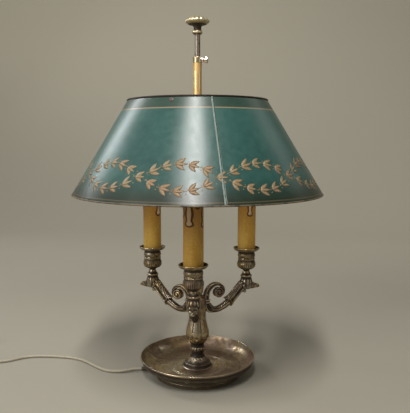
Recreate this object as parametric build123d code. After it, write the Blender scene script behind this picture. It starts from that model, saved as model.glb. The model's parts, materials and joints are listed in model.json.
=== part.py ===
from build123d import *

import os
from math import atan2, cos, degrees, exp, hypot, pi, radians, sin, tan

# Bouillotte lamp: a dished foot, a turned column with three cast candle arms, and a painted
# metal shade that slides and turns on the centre rod.
# Millimetres, +Z up.  The origin is on the column's axis, in the plane that the foot stands on.
# The front arm points to -Y.

# ---------------------------------------------------------------- driving dimensions
# Fits, all radial or face to face
RUNNING_FIT = 0.08         # parts that slide or turn on each other
BORE_FIT = 0.15            # loose pieces threaded on a rod or a tube
LOOSE_GAP = 0.3            # rounded faces of different moving parts

# Dished foot
RIM_R = 82.6
RIM_Z = 27.5
RIM_LIP = 1.7              # thickness at the lip
FLOOR_R = 62.0
FLOOR_Z = 11.0
DISH_WALL = 2.0
FOOT_RING_R = 61.5
FOOT_RING_WALL = 3.0
SEAT_RISE = 5.5            # raised seat of the column above the floor
SEAT_FLARE = 3.6
SEAT_LEDGE = 0.4           # the seat stands out past the column's foot
RING_LINES = (37.5, 40.3)  # turned lines in the floor
LINE_WIDTH = 1.0
LINE_DEPTH = 0.5

# Tie tube with its washer and lock nut
TIE_R = 5.0
TIE_BORE_R = 3.5
TIE_END_Z = 5.8
WASHER_R = 10.0
WASHER_T = 1.0
NUT_ACROSS_FLATS = 14.0
NUT_T = 2.4

# Column pieces, from the bottom
COLUMN_FOOT_R = 18.55
COLUMN_FOOT_H = 17.8
FOOT_NECK_R = 9.1
KNOP_R = 10.45
KNOP_H = 7.2
KNOP_NECK_R = 9.4
BALUSTER_R = 16.6
BALUSTER_H = 39.5
HUB_R = 12.25
HUB_H = 29.0
HUB_CAP_H = 30.0
HUB_CAP_R = 8.8

# Cast arms, evenly spaced
ARM_NAMES = ("front", "right", "left")
FRONT_ARM_AT = -90.0       # degrees from +X
CANDLE_R = 81.2            # candle axes from the column's axis
LIMB_WIDTH = 9.2
HEEL_R = 16.3
HEEL_Z = 88.4
BELLY_R = 30.3
BELLY_Z = 90.3
BELLY_DEPTH = 7.8
EYE_R = 33.8               # scroll eye, from the column's axis
EYE_Z = 113.9
EYE_DISC_R = 7.3
EYE_DISC_T = 10.6
SCROLL_REACH = 9.2         # outer edge of the scroll level with its eye
SCROLL_GROWTH = 0.2944     # per radian of turn
SCROLL_BAND = 0.35         # band depth as a share of the outer radius
SCROLL_START = 197.0       # degrees about the eye
SCROLL_END = -75.0
SCROLL_STEP = 17.0
LEAF_WIDTH = 12.0
BEAK_R = 103.8
BEAK_Z = 117.2
ARM_TOP_Z = 143.0
ARM_NECK_R = 4.9
BELL_R = 9.4

# Candle cups, pans, sleeves and what they hold
NIPPLE_R = 3.5
NIPPLE_BORE_R = 2.2
NIPPLE_GRIP = 9.0          # thread length in the arm and above the holder's foot
CUP_H = 29.0
CUP_LOWER_R = 13.8
CUP_WAIST_R = 11.9
CUP_UPPER_R = 12.8
PAN_R = 19.5
PAN_H = 6.1
PAN_FLOOR_T = 2.0
PAN_WALL = 1.0
SLEEVE_R = 13.5
SLEEVE_WALL = 1.2
SLEEVE_H = 83.0
HOLDER_R = 12.0
HOLDER_FOOT_H = 4.0
HOLDER_STEM_R = 6.5
HOLDER_BODY_H = 34.0
HOLDER_TOP_GAP = 2.5       # below the top of the candle sleeve
SHELL_R = 7.5
SHELL_WALL = 0.5
SHELL_DEPTH = 20.0
BULB_CAP_FLANGE = 3.0      # the cap stands proud of its holder by this
BULB_R = 17.5
BULB_H = 75.0
BULB_NECK_R = 9.0

# Centre rod, knob and the sliding sleeve of the shade
ROD_R = 3.85
ROD_SOCKET_DEPTH = 14.0
KNOB_R = 16.3
KNOB_TOP_Z = 504.0
KNOB_H = 19.3
KNOB_NECK_R = 5.3
KNOB_COLLAR_R = 7.0
KNOB_COLLAR_H = 5.4
SLIDER_R = 6.0
SLIDER_DROP = 102.3        # from the knob's collar down to the foot of the sliding sleeve
SLIDER_FLANGE_R = 9.5
SLIDER_FLANGE_T = 2.5
SLIDER_TUBE_H = 64.0
SLIDER_COLLAR_R = 6.3
SLIDER_COLLAR_H = 8.3
SCREW_R = 2.0
SCREW_HEAD_R = 4.4
SCREW_HEAD_T = 5.0
SCREW_HEAD_GAP = 1.4       # neck between the boss and the head
SCREW_BOSS_R = 3.4
SCREW_BOSS_REACH = 8.3

# Shade
SHADE_BOTTOM_R = 172.8
SHADE_TOP_R = 96.0
SHADE_H = 126.4
SHADE_RISE = 12.6          # top edge above the foot of the sliding sleeve
SHADE_PANELS = "ab"
SHADE_SHEET = 0.8
TOP_BEAD_R = 1.5
BOTTOM_BEAD_R = 1.0
SEAM_AT = -75.7            # degrees from +X, the first seam
SEAM_WIDTH = 5.0
SEAM_THICKNESS = 0.6
SPIDER_AT = -105.0         # degrees from +X, the first of the spider's arms
SPIDER_ARMS = 3
SPIDER_HUB_R = 12.0
SPIDER_HUB_H = 5.0
SPIDER_BAR_W = 8.0
SPIDER_BAR_T = 1.8
SPIDER_TAB = 13.0
RIVET_R = 1.6
RIVET_HEAD_R = 2.9
RIVET_HEAD_H = 1.2
RIVET_BELOW_TOP = 5.2      # along the slope, from the sheet's top edge

# Mains cord with its bush, switch and plug
CORD_D = 4.2
CORD_ON_FLOOR = 2.15       # height of the cord's axis where it lies
BUSH_AT = 182.0            # degrees from +X
BUSH_Z = 4.2
BUSH_R = 3.2
BUSH_TIP_R = 2.7
BUSH_LENGTH = 20.0
BUSH_FLANGE_R = 3.9
BUSH_FLANGE_T = 1.6
LEAD_LOW_Z = 2.35
LEAD_BEND_R = 60.0         # gentle bends on the way to the column
LEAD_TURN_R = 5.0          # turn up into the tie tube
SWITCH_L = 55.0
SWITCH_W = 26.0
SWITCH_H = 17.0
SWITCH_SPLIT_Z = 8.0
SWITCH_EDGE = 3.0
ROCKER_L = 19.0
ROCKER_W = 10.4
ROCKER_T = 5.4
ROCKER_TILT = 7.0
ROCKER_DISH = 1.6
ROCKER_PIN_R = 1.3
ROCKER_PIN_Z = 14.2
SWITCH_SCREW_R = 1.5
SWITCH_SCREW_HEAD_R = 2.8
PLUG_W = 35.3
PLUG_T = 13.7
PLUG_L = 36.0
PLUG_NECK = 8.4
PIN_R = 2.0
PIN_L = 19.0
PIN_CHAMFER = 0.6
PIN_SPACING = 18.6
COIL_MEAN_R = 23.0
COIL_COLUMNS = 4
COIL_LAYERS = 3

# Cord routes: chosen points, from the bush to the switch, and from the switch on
SWITCH_AT = (-370.5, 8.0)
COIL_AT = (-450.0, 37.6)
BUSH_TIP = Vector(FOOT_RING_R + BUSH_LENGTH, 0, BUSH_Z).rotate(Axis.Z, BUSH_AT)
CORD_ROUTE = [
    BUSH_TIP,
    BUSH_TIP + Vector(10, 0, 0).rotate(Axis.Z, BUSH_AT),
    (-105.0, -9.4, 2.9),
    (-120.5, -11.2, CORD_ON_FLOOR),
    (-136.5, -7.0, CORD_ON_FLOOR),
    (-153.3, 6.8, CORD_ON_FLOOR),
    (-172.6, 25.2, CORD_ON_FLOOR),
    (-193.0, 36.4, CORD_ON_FLOOR),
    (-216.3, 39.9, CORD_ON_FLOOR),
    (-241.0, 41.0, CORD_ON_FLOOR),
    (-263.5, 38.2, CORD_ON_FLOOR),
    (-278.8, 28.6, CORD_ON_FLOOR),
    (-289.5, 18.6, CORD_ON_FLOOR),
    (-303.0, 13.4, CORD_ON_FLOOR),
    (-314.0, 10.4, 3.1),
    (-325.0, 8.7, 6.4),
    (SWITCH_AT[0] + SWITCH_L / 2 + 9, SWITCH_AT[1], SWITCH_SPLIT_Z),
    (SWITCH_AT[0] + SWITCH_L / 2, SWITCH_AT[1], SWITCH_SPLIT_Z),
]

# ---------------------------------------------------------------- derived sizes
SEAT_Z = FLOOR_Z + SEAT_RISE
KNOP_Z = SEAT_Z + COLUMN_FOOT_H
BALUSTER_Z = KNOP_Z + KNOP_H
HUB_Z = BALUSTER_Z + BALUSTER_H
HUB_TOP_Z = HUB_Z + HUB_H
HUB_CAP_TOP_Z = HUB_TOP_Z + HUB_CAP_H
COLUMN_BORE = TIE_R + BORE_FIT
UNDERSIDE_Z = FLOOR_Z - DISH_WALL
PAN_Z = ARM_TOP_Z + CUP_H
SLEEVE_Z = PAN_Z + PAN_FLOOR_T
SLEEVE_TOP_Z = SLEEVE_Z + SLEEVE_H
HOLDER_TOP_Z = SLEEVE_TOP_Z - HOLDER_TOP_GAP
NIPPLE_CLEAR = NIPPLE_R + BORE_FIT
BULB_CAP_R = SHELL_R - SHELL_WALL - RUNNING_FIT
KNOB_Z = KNOB_TOP_Z - KNOB_H
KNOB_COLLAR_Z = KNOB_Z - KNOB_COLLAR_H
ROD_TOP_Z = KNOB_Z + KNOB_H / 3
SLIDER_BORE = ROD_R + RUNNING_FIT
SLIDER_BOTTOM_Z = KNOB_COLLAR_Z - SLIDER_DROP
SLIDER_COLLAR_Z = SLIDER_BOTTOM_Z + SLIDER_TUBE_H
SCREW_Z = SLIDER_COLLAR_Z + SLIDER_COLLAR_H / 2
SPIDER_Z = SLIDER_BOTTOM_Z + SLIDER_FLANGE_T
SHADE_TOP_Z = SLIDER_BOTTOM_Z + SHADE_RISE
SHADE_BOTTOM_Z = SHADE_TOP_Z - SHADE_H
SHADE_SLOPE = hypot(SHADE_BOTTOM_R - SHADE_TOP_R, SHADE_H)
SHADE_LEAN = degrees(atan2(SHADE_BOTTOM_R - SHADE_TOP_R, SHADE_H))
ARM_ANGLES = {name: FRONT_ARM_AT + 360 / len(ARM_NAMES) * k for k, name in enumerate(ARM_NAMES)}
# The scrolls were dressed by hand, so their eyes sit a little high or low
SCROLL_LIFT = {"front": 0.0, "right": 1.6, "left": -2.4}


# ---------------------------------------------------------------- helpers
def outline(*runs):
    """A face in the XZ plane, closed by straight edges.  A run is a list of (x, z) points: in round
    brackets they are corners, and three or more in square brackets lie on a smooth curve."""
    edges = []
    first = last = None
    for run in runs:
        points = [Vector(x, 0, z) for x, z in run]
        if last is not None and (points[0] - last).length > 1e-6:
            edges.append(Line(last, points[0]))
        if isinstance(run, list) and len(points) > 2:
            edges.append(Spline(*points))
        else:
            edges += [Line(a, b) for a, b in zip(points, points[1:])]
        first = first or points[0]
        last = points[-1]
    edges.append(Line(last, first))
    return make_face(edges)


def turned(*runs):
    """A solid turned about Z from the outline of its half section."""
    return revolve(outline(*runs), Axis.Z)


def about_candle(shape, angle):
    """Move a shape made on the Z axis to the candle axis of the arm at this angle."""
    return Rot(0, 0, angle) * Pos(CANDLE_R, 0, 0) * shape


def tube(radius, bore, low, high):
    """A plain tube on the Z axis."""
    height = high - low
    ring = Cylinder(radius, height) - Cylinder(bore, height)
    return Pos(0, 0, (low + high) / 2) * ring


def cast_limb(stations):
    """A loft through ellipses strung along a path in the XZ plane.  A station is its centre's x
    and z, its half depth in that plane and its half width across it."""
    sections = []
    for index, (x, z, depth, width) in enumerate(stations):
        before = stations[max(index - 1, 0)]
        after = stations[min(index + 1, len(stations) - 1)]
        along = Vector(after[0] - before[0], 0, after[1] - before[1])
        plane = Plane(origin=(x, 0, z), x_dir=(0, 1, 0), z_dir=along)
        sections.append(plane * Ellipse(width, depth))
    return loft(sections)


def cross_disc(x, z, radius, length):
    """A short cylinder that lies across the arm."""
    return Pos(x, 0, z) * Rot(90, 0, 0) * Cylinder(radius, length)


def save(shape, name):
    """Write one node."""
    export_step(shape, f"parts/{name}.step")


os.makedirs("parts", exist_ok=True)

# ---------------------------------------------------------------- dished foot
bush_hole = Rot(0, 0, BUSH_AT) * Pos(FOOT_RING_R, 0, BUSH_Z) * Rot(0, 90, 0) * Cylinder(
    BUSH_R, 4 * FOOT_RING_WALL)
side_run, side_rise = RIM_R - FLOOR_R, RIM_Z - FLOOR_Z
dish = turned(
    [(COLUMN_BORE, UNDERSIDE_Z), (COLUMN_BORE, SEAT_Z)],
    [(COLUMN_FOOT_R + SEAT_LEDGE, SEAT_Z),
     (COLUMN_FOOT_R + 0.3 * SEAT_FLARE, FLOOR_Z + 0.45 * SEAT_RISE),
     (COLUMN_FOOT_R + SEAT_FLARE, FLOOR_Z)],
    [(FLOOR_R, FLOOR_Z), (FLOOR_R + 0.36 * side_run, FLOOR_Z + 0.18 * side_rise),
     (FLOOR_R + 0.7 * side_run, FLOOR_Z + 0.52 * side_rise),
     (RIM_R - RIM_LIP, RIM_Z - RIM_LIP / 2)],
    [(RIM_R - 0.7 * RIM_LIP, RIM_Z), (RIM_R - 0.2 * RIM_LIP, RIM_Z)],
    [(RIM_R, RIM_Z - 0.5 * RIM_LIP), (RIM_R, RIM_Z - 1.3 * RIM_LIP)],
    [(RIM_R - 0.35 * RIM_LIP, RIM_Z - 1.5 * RIM_LIP),
     (FLOOR_R + 0.78 * side_run, UNDERSIDE_Z + 0.49 * side_rise),
     (FLOOR_R + 0.42 * side_run, UNDERSIDE_Z + 0.16 * side_rise),
     (FOOT_RING_R, UNDERSIDE_Z - 0.5)],
    [(FOOT_RING_R, 0), (FOOT_RING_R - FOOT_RING_WALL, 0)],
    [(FOOT_RING_R - FOOT_RING_WALL, UNDERSIDE_Z)],
)
for line_r in RING_LINES:
    dish -= turned(
        [(line_r - LINE_WIDTH / 2, FLOOR_Z), (line_r, FLOOR_Z - LINE_DEPTH)],
        [(line_r + LINE_WIDTH / 2, FLOOR_Z)],
    )
dish -= bush_hole
save(dish, "base_dish")

WASHER_Z = UNDERSIDE_Z - WASHER_T
NUT_Z = WASHER_Z - NUT_T
save(tube(WASHER_R, COLUMN_BORE, WASHER_Z, UNDERSIDE_Z), "base_washer")
nut = Pos(0, 0, NUT_Z) * extrude(
    RegularPolygon(NUT_ACROSS_FLATS / 2, 6, major_radius=False) - Circle(TIE_R), NUT_T
)
save(nut, "base_lock_nut")
TIE_TOP_Z = HUB_TOP_Z + 0.4 * HUB_CAP_H
save(tube(TIE_R, TIE_BORE_R, TIE_END_Z, TIE_TOP_Z), "tie_tube")

# ---------------------------------------------------------------- column
foot_span = COLUMN_FOOT_R - FOOT_NECK_R
column_foot = turned(
    [(COLUMN_BORE, SEAT_Z), (COLUMN_FOOT_R, SEAT_Z)],
    [(COLUMN_FOOT_R, SEAT_Z + 0.6),
     (COLUMN_FOOT_R - 0.27 * foot_span, SEAT_Z + 0.11 * COLUMN_FOOT_H),
     (COLUMN_FOOT_R - 0.53 * foot_span, SEAT_Z + 0.27 * COLUMN_FOOT_H),
     (COLUMN_FOOT_R - 0.77 * foot_span, SEAT_Z + 0.43 * COLUMN_FOOT_H),
     (FOOT_NECK_R, SEAT_Z + 0.62 * COLUMN_FOOT_H), (FOOT_NECK_R, KNOP_Z)],
    [(COLUMN_BORE, KNOP_Z)],
)
save(column_foot, "column_foot")

column_knop = turned(
    [(COLUMN_BORE, KNOP_Z), (FOOT_NECK_R, KNOP_Z)],
    [(FOOT_NECK_R, KNOP_Z + 0.08 * KNOP_H), (KNOP_R - 0.4, KNOP_Z + 0.26 * KNOP_H),
     (KNOP_R, KNOP_Z + 0.48 * KNOP_H), (KNOP_R - 0.4, KNOP_Z + 0.68 * KNOP_H),
     (KNOP_NECK_R, KNOP_Z + 0.86 * KNOP_H)],
    [(KNOP_NECK_R, BALUSTER_Z), (COLUMN_BORE, BALUSTER_Z)],
)
save(column_knop, "column_knop")

swell = BALUSTER_R - KNOP_NECK_R
taper = BALUSTER_R - HUB_R
baluster = turned(
    [(COLUMN_BORE, BALUSTER_Z), (KNOP_NECK_R, BALUSTER_Z)],
    [(KNOP_NECK_R, BALUSTER_Z + 0.01 * BALUSTER_H),
     (KNOP_NECK_R + 0.21 * swell, BALUSTER_Z + 0.096 * BALUSTER_H),
     (KNOP_NECK_R + 0.53 * swell, BALUSTER_Z + 0.172 * BALUSTER_H),
     (KNOP_NECK_R + 0.81 * swell, BALUSTER_Z + 0.248 * BALUSTER_H),
     (BALUSTER_R, BALUSTER_Z + 0.4 * BALUSTER_H),
     (BALUSTER_R - 0.09 * taper, BALUSTER_Z + 0.55 * BALUSTER_H),
     (BALUSTER_R - 0.46 * taper, BALUSTER_Z + 0.74 * BALUSTER_H),
     (BALUSTER_R - 0.86 * taper, BALUSTER_Z + 0.93 * BALUSTER_H), (HUB_R, HUB_Z)],
    [(COLUMN_BORE, HUB_Z)],
)
save(baluster, "baluster")

save(tube(HUB_R, COLUMN_BORE, HUB_Z, HUB_TOP_Z), "arm_hub")

SOCKET_FLOOR_Z = HUB_CAP_TOP_Z - ROD_SOCKET_DEPTH
hub_cap = turned(
    ((COLUMN_BORE, HUB_TOP_Z), (HUB_R - 1.2, HUB_TOP_Z), (HUB_R - 1.2, HUB_TOP_Z + 0.06 * HUB_CAP_H)),
    [(HUB_CAP_R - 2.6, HUB_TOP_Z + 0.2 * HUB_CAP_H), (HUB_CAP_R - 0.9, HUB_TOP_Z + 0.34 * HUB_CAP_H),
     (HUB_CAP_R, HUB_TOP_Z + 0.5 * HUB_CAP_H), (HUB_CAP_R - 1.1, HUB_TOP_Z + 0.72 * HUB_CAP_H),
     (ROD_R + 1.9, HUB_CAP_TOP_Z)],
    [(ROD_R + BORE_FIT, HUB_CAP_TOP_Z), (ROD_R + BORE_FIT, SOCKET_FLOOR_Z)],
    [(TIE_BORE_R, SOCKET_FLOOR_Z), (TIE_BORE_R, TIE_TOP_Z)],
    [(COLUMN_BORE, TIE_TOP_Z)],
)
save(hub_cap, "hub_cap")
save(Pos(0, 0, (SOCKET_FLOOR_Z + ROD_TOP_Z) / 2) * Cylinder(ROD_R, ROD_TOP_Z - SOCKET_FLOOR_Z),
     "centre_rod")


# ---------------------------------------------------------------- cast arms
def scroll_band(eye_z):
    """The band of the scroll: its outer edge is a logarithmic spiral about the eye, and its depth
    is a fixed share of the radius."""
    stations = []
    angle = SCROLL_START
    while angle >= SCROLL_END:
        outer = SCROLL_REACH * exp(SCROLL_GROWTH * radians(angle))
        middle = outer * (1 - SCROLL_BAND / 2)
        stations.append((
            EYE_R + middle * cos(radians(angle)),
            eye_z + middle * sin(radians(angle)),
            outer * SCROLL_BAND / 2,
            0.47 * LIMB_WIDTH,
        ))
        angle -= SCROLL_STEP
    return cast_limb(stations)


def cast_arm(scroll_lift):
    """One arm along +X: a root that rises into the scroll, an S-shaped limb, a leaf wrapped round
    it, and a bird-like leaf head with a bell under the candle cup."""
    eye_z = EYE_Z + scroll_lift
    half = LIMB_WIDTH / 2
    root = extrude(outline(
        ((HUB_R - 1, HEEL_Z + 6.8), (HEEL_R, HEEL_Z), (HEEL_R + 6, HEEL_Z - 1.0)),
        [(HEEL_R + 6.5, HEEL_Z + 7.8), (HEEL_R + 3, HEEL_Z + 11.4), (HEEL_R + 1.3, eye_z - 6),
         (HEEL_R + 1.5, eye_z - 1)],
        [(HUB_R - 1, eye_z - 1)],
    ), half, both=True)
    collars = Part()
    for low in (HEEL_Z + 13.2, HEEL_Z + 17.0):
        collars += Pos(HEEL_R - 1.0, 0, low) * Box(5.8, LIMB_WIDTH + 2, 2.6)
    limb = cast_limb([
        (HEEL_R + 1.5, HEEL_Z + 6.0, 6.4, half),
        (HEEL_R + 7.5, HEEL_Z + 3.2, 5.0, half),
        (BELLY_R, BELLY_Z, BELLY_DEPTH / 2, half),
        (BELLY_R + 9.3, BELLY_Z + 2.4, 0.56 * BELLY_DEPTH, half),
        (BELLY_R + 18.6, BELLY_Z + 7.3, 0.62 * BELLY_DEPTH, half),
        (BELLY_R + 29.5, BELLY_Z + 16.8, 0.68 * BELLY_DEPTH, half + 0.4),
        (BELLY_R + 40.2, BELLY_Z + 27.5, 0.74 * BELLY_DEPTH, half + 1.0),
        (BELLY_R + 47.0, BELLY_Z + 33.5, 0.72 * BELLY_DEPTH, half + 1.0),
    ])
    leaf_cut = extrude(outline(
        [(BELLY_R + 12.4, BELLY_Z + 18.1), (BELLY_R + 21.7, BELLY_Z + 20.4),
         (BELLY_R + 30.2, BELLY_Z + 27.6), (BELLY_R + 39.8, BELLY_Z + 34.6)],
        [(BELLY_R + 45.5, BELLY_Z + 24.0), (BELLY_R + 37.5, BELLY_Z + 15.6),
         (BELLY_R + 30.6, BELLY_Z + 10.2), (BELLY_R + 26.1, BELLY_Z + 2.3)],
        [(BELLY_R + 21.2, BELLY_Z + 11.7)],
    ), LEAF_WIDTH, both=True)
    leaf = leaf_cut & cast_limb([
        (BELLY_R + 8, BELLY_Z + 7, 14, LEAF_WIDTH / 2),
        (BELLY_R + 24, BELLY_Z + 14, 14, LEAF_WIDTH / 2),
        (BELLY_R + 50, BELLY_Z + 38, 14, LEAF_WIDTH / 2),
    ])
    beak = cast_limb([
        (CANDLE_R - 9.5, BEAK_Z + 3.6, 6.2, LEAF_WIDTH / 2),
        (CANDLE_R - 1.0, BEAK_Z + 3.0, 7.0, LEAF_WIDTH / 2 + 0.8),
        (CANDLE_R + 7.5, BEAK_Z + 2.4, 5.4, LEAF_WIDTH / 2 + 0.8),
        (BEAK_R - 7.5, BEAK_Z + 1.2, 3.4, LEAF_WIDTH / 2 - 0.4),
        (BEAK_R, BEAK_Z, 1.8, 2.6),
    ])
    bell = Pos(CANDLE_R, 0, 0) * turned(
        [(0, BEAK_Z - 1), (BELL_R - 1.5, BEAK_Z - 1)],
        [(BELL_R, BEAK_Z + 5.5), (BELL_R - 0.3, BEAK_Z + 12), (BELL_R - 1.6, BEAK_Z + 17)],
        [(BELL_R - 0.9, BEAK_Z + 17.6), (BELL_R - 0.9, BEAK_Z + 19.4)],
        [(BELL_R - 2.2, BEAK_Z + 20), (BELL_R - 3.2, BEAK_Z + 22.5), (ARM_NECK_R, ARM_TOP_Z)],
        [(0, ARM_TOP_Z)],
    )
    eye = cross_disc(EYE_R, eye_z, EYE_DISC_R, EYE_DISC_T)
    eye = chamfer(eye.edges().filter_by(GeomType.CIRCLE), 1.0)
    knuckle = cross_disc(CANDLE_R - 9.4, BEAK_Z + 7.2, 2.8, LEAF_WIDTH - 1)
    curl = cross_disc(CANDLE_R - 4.6, BEAK_Z - 4.2, 2.7, LEAF_WIDTH - 2)
    rosette = cross_disc(CANDLE_R - 5.0, BEAK_Z + 4.0, 3.5, LEAF_WIDTH + 3)
    arm = limb + scroll_band(eye_z) + root + collars + leaf + beak + bell + eye
    arm = arm + knuckle + curl + rosette
    arm -= Pos(0, 0, HUB_Z) * Cylinder(HUB_R, 4 * HUB_H)
    arm -= Pos(CANDLE_R, 0, ARM_TOP_Z) * Cylinder(NIPPLE_R, 2 * NIPPLE_GRIP)
    return arm


for name, angle in ARM_ANGLES.items():
    save(Rot(0, 0, angle) * cast_arm(SCROLL_LIFT[name]), f"arm_{name}")

# ---------------------------------------------------------------- candle cups and pans
candle_cup = turned(
    [(NIPPLE_CLEAR, ARM_TOP_Z), (ARM_NECK_R, ARM_TOP_Z)],
    [(ARM_NECK_R, ARM_TOP_Z + 0.04 * CUP_H), (0.56 * CUP_LOWER_R, ARM_TOP_Z + 0.09 * CUP_H),
     (0.85 * CUP_LOWER_R, ARM_TOP_Z + 0.165 * CUP_H), (CUP_LOWER_R, ARM_TOP_Z + 0.31 * CUP_H),
     (0.96 * CUP_LOWER_R, ARM_TOP_Z + 0.44 * CUP_H), (CUP_WAIST_R, ARM_TOP_Z + 0.58 * CUP_H)],
    [(CUP_WAIST_R + 0.9, ARM_TOP_Z + 0.62 * CUP_H), (CUP_WAIST_R + 0.9, ARM_TOP_Z + 0.67 * CUP_H)],
    [(CUP_WAIST_R + 0.2, ARM_TOP_Z + 0.71 * CUP_H), (CUP_UPPER_R, ARM_TOP_Z + 0.84 * CUP_H),
     (CUP_WAIST_R - 0.1, ARM_TOP_Z + 0.97 * CUP_H)],
    [(CUP_WAIST_R - 0.1, PAN_Z), (NIPPLE_CLEAR, PAN_Z)],
)
pan_seat_r = SLEEVE_R + 0.9
drip_pan = turned(
    [(NIPPLE_CLEAR, PAN_Z), (CUP_WAIST_R, PAN_Z)],
    [(CUP_WAIST_R + 0.6, PAN_Z + 0.1),
     (CUP_WAIST_R + 0.5 * (PAN_R - CUP_WAIST_R), PAN_Z + 0.22 * PAN_H),
     (PAN_R - 1.0, PAN_Z + 0.56 * PAN_H), (PAN_R, PAN_Z + 0.9 * PAN_H)],
    [(PAN_R - 0.3, PAN_Z + PAN_H), (PAN_R - 0.7, PAN_Z + PAN_H)],
    [(PAN_R - PAN_WALL, PAN_Z + 0.92 * PAN_H), (PAN_R - 2.1, PAN_Z + 0.68 * PAN_H),
     (0.5 * (PAN_R + pan_seat_r) - 0.6, PAN_Z + 0.44 * PAN_H), (pan_seat_r, SLEEVE_Z)],
    [(NIPPLE_CLEAR, SLEEVE_Z)],
)
candle_sleeve = turned(
    ((SLEEVE_R - SLEEVE_WALL, SLEEVE_Z), (SLEEVE_R, SLEEVE_Z), (SLEEVE_R, SLEEVE_TOP_Z - 1.0)),
    [(SLEEVE_R - 0.35, SLEEVE_TOP_Z), (SLEEVE_R - SLEEVE_WALL, SLEEVE_TOP_Z)],
)

# Candle lampholder: foot screwed on the nipple, a slim stem and a body with the threaded shell
body_z = HOLDER_TOP_Z - HOLDER_BODY_H
shell_low = HOLDER_TOP_Z - SHELL_DEPTH
lampholder = turned(
    ((NIPPLE_R, SLEEVE_Z), (HOLDER_R - 1.0, SLEEVE_Z), (HOLDER_R - 1.0, SLEEVE_Z + HOLDER_FOOT_H)),
    [(HOLDER_STEM_R, SLEEVE_Z + 2 * HOLDER_FOOT_H), (HOLDER_STEM_R, body_z - HOLDER_FOOT_H)],
    ((HOLDER_R, body_z), (HOLDER_R, HOLDER_TOP_Z), (SHELL_R, HOLDER_TOP_Z)),
    [(SHELL_R, shell_low), (NIPPLE_R, shell_low)],
)
socket_shell = turned(
    ((0, shell_low), (SHELL_R, shell_low), (SHELL_R, HOLDER_TOP_Z)),
    ((SHELL_R - SHELL_WALL, HOLDER_TOP_Z), (SHELL_R - SHELL_WALL, shell_low + SHELL_WALL)),
    [(0, shell_low + SHELL_WALL)],
)
cap_low = shell_low + SHELL_WALL + LOOSE_GAP
cap_top = HOLDER_TOP_Z + BULB_CAP_FLANGE
bulb_cap = turned(
    ((0, cap_low), (2.2, cap_low), (2.6, cap_low + 1.4)),
    [(BULB_CAP_R, cap_low + 3.0), (BULB_CAP_R, HOLDER_TOP_Z + 0.6)],
    [(BULB_NECK_R - 0.6, cap_top), (0, cap_top)],
)
bulb_glass = turned(
    [(0, cap_top), (BULB_NECK_R - 0.6, cap_top)],
    [(BULB_NECK_R, cap_top + 0.02 * BULB_H), (0.74 * BULB_R, cap_top + 0.16 * BULB_H),
     (0.97 * BULB_R, cap_top + 0.34 * BULB_H), (BULB_R, cap_top + 0.44 * BULB_H),
     (0.86 * BULB_R, cap_top + 0.65 * BULB_H), (0.45 * BULB_R, cap_top + 0.87 * BULB_H),
     (0.17 * BULB_R, cap_top + 0.96 * BULB_H), (0, cap_top + BULB_H)],
)
for name, angle in ARM_ANGLES.items():
    save(about_candle(candle_cup, angle), f"candle_cup_{name}")
    save(about_candle(drip_pan, angle), f"drip_pan_{name}")
    save(about_candle(candle_sleeve, angle), f"candle_sleeve_{name}")
    save(about_candle(lampholder, angle), f"lampholder_{name}")
    save(about_candle(socket_shell, angle), f"socket_shell_{name}")
    save(about_candle(bulb_cap, angle), f"bulb_cap_{name}")
    save(about_candle(bulb_glass, angle), f"bulb_glass_{name}")

nipple = tube(NIPPLE_R, NIPPLE_BORE_R, ARM_TOP_Z - NIPPLE_GRIP, SLEEVE_Z + NIPPLE_GRIP)
nipples = [about_candle(nipple, angle) for angle in ARM_ANGLES.values()]
save(Compound(children=nipples), "holder_nipples")

# ---------------------------------------------------------------- knob
ROD_CLEAR = ROD_R + BORE_FIT
knob_collar = turned(
    [(ROD_CLEAR, KNOB_COLLAR_Z), (KNOB_COLLAR_R - 1.4, KNOB_COLLAR_Z)],
    [(KNOB_COLLAR_R - 0.4, KNOB_COLLAR_Z + 0.2 * KNOB_COLLAR_H),
     (KNOB_COLLAR_R, KNOB_COLLAR_Z + 0.5 * KNOB_COLLAR_H),
     (KNOB_COLLAR_R - 0.5, KNOB_COLLAR_Z + 0.75 * KNOB_COLLAR_H)],
    [(KNOB_COLLAR_R - 1.3, KNOB_Z), (ROD_CLEAR, KNOB_Z)],
)
save(knob_collar, "knob_collar")
knob_span = KNOB_R - KNOB_NECK_R
knob = turned(
    ((0, ROD_TOP_Z), (ROD_CLEAR, ROD_TOP_Z), (ROD_CLEAR, KNOB_Z)),
    [(KNOB_NECK_R, KNOB_Z), (KNOB_NECK_R, KNOB_Z + 0.09 * KNOB_H),
     (KNOB_NECK_R + 0.08 * knob_span, KNOB_Z + 0.22 * KNOB_H),
     (KNOB_NECK_R + 0.32 * knob_span, KNOB_Z + 0.325 * KNOB_H),
     (KNOB_NECK_R + 0.73 * knob_span, KNOB_Z + 0.43 * KNOB_H),
     (KNOB_R, KNOB_Z + 0.6 * KNOB_H),
     (KNOB_NECK_R + 0.75 * knob_span, KNOB_Z + 0.765 * KNOB_H),
     (KNOB_NECK_R + 0.32 * knob_span, KNOB_Z + 0.9 * KNOB_H), (0, KNOB_TOP_Z)],
)
save(knob, "knob")

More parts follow.
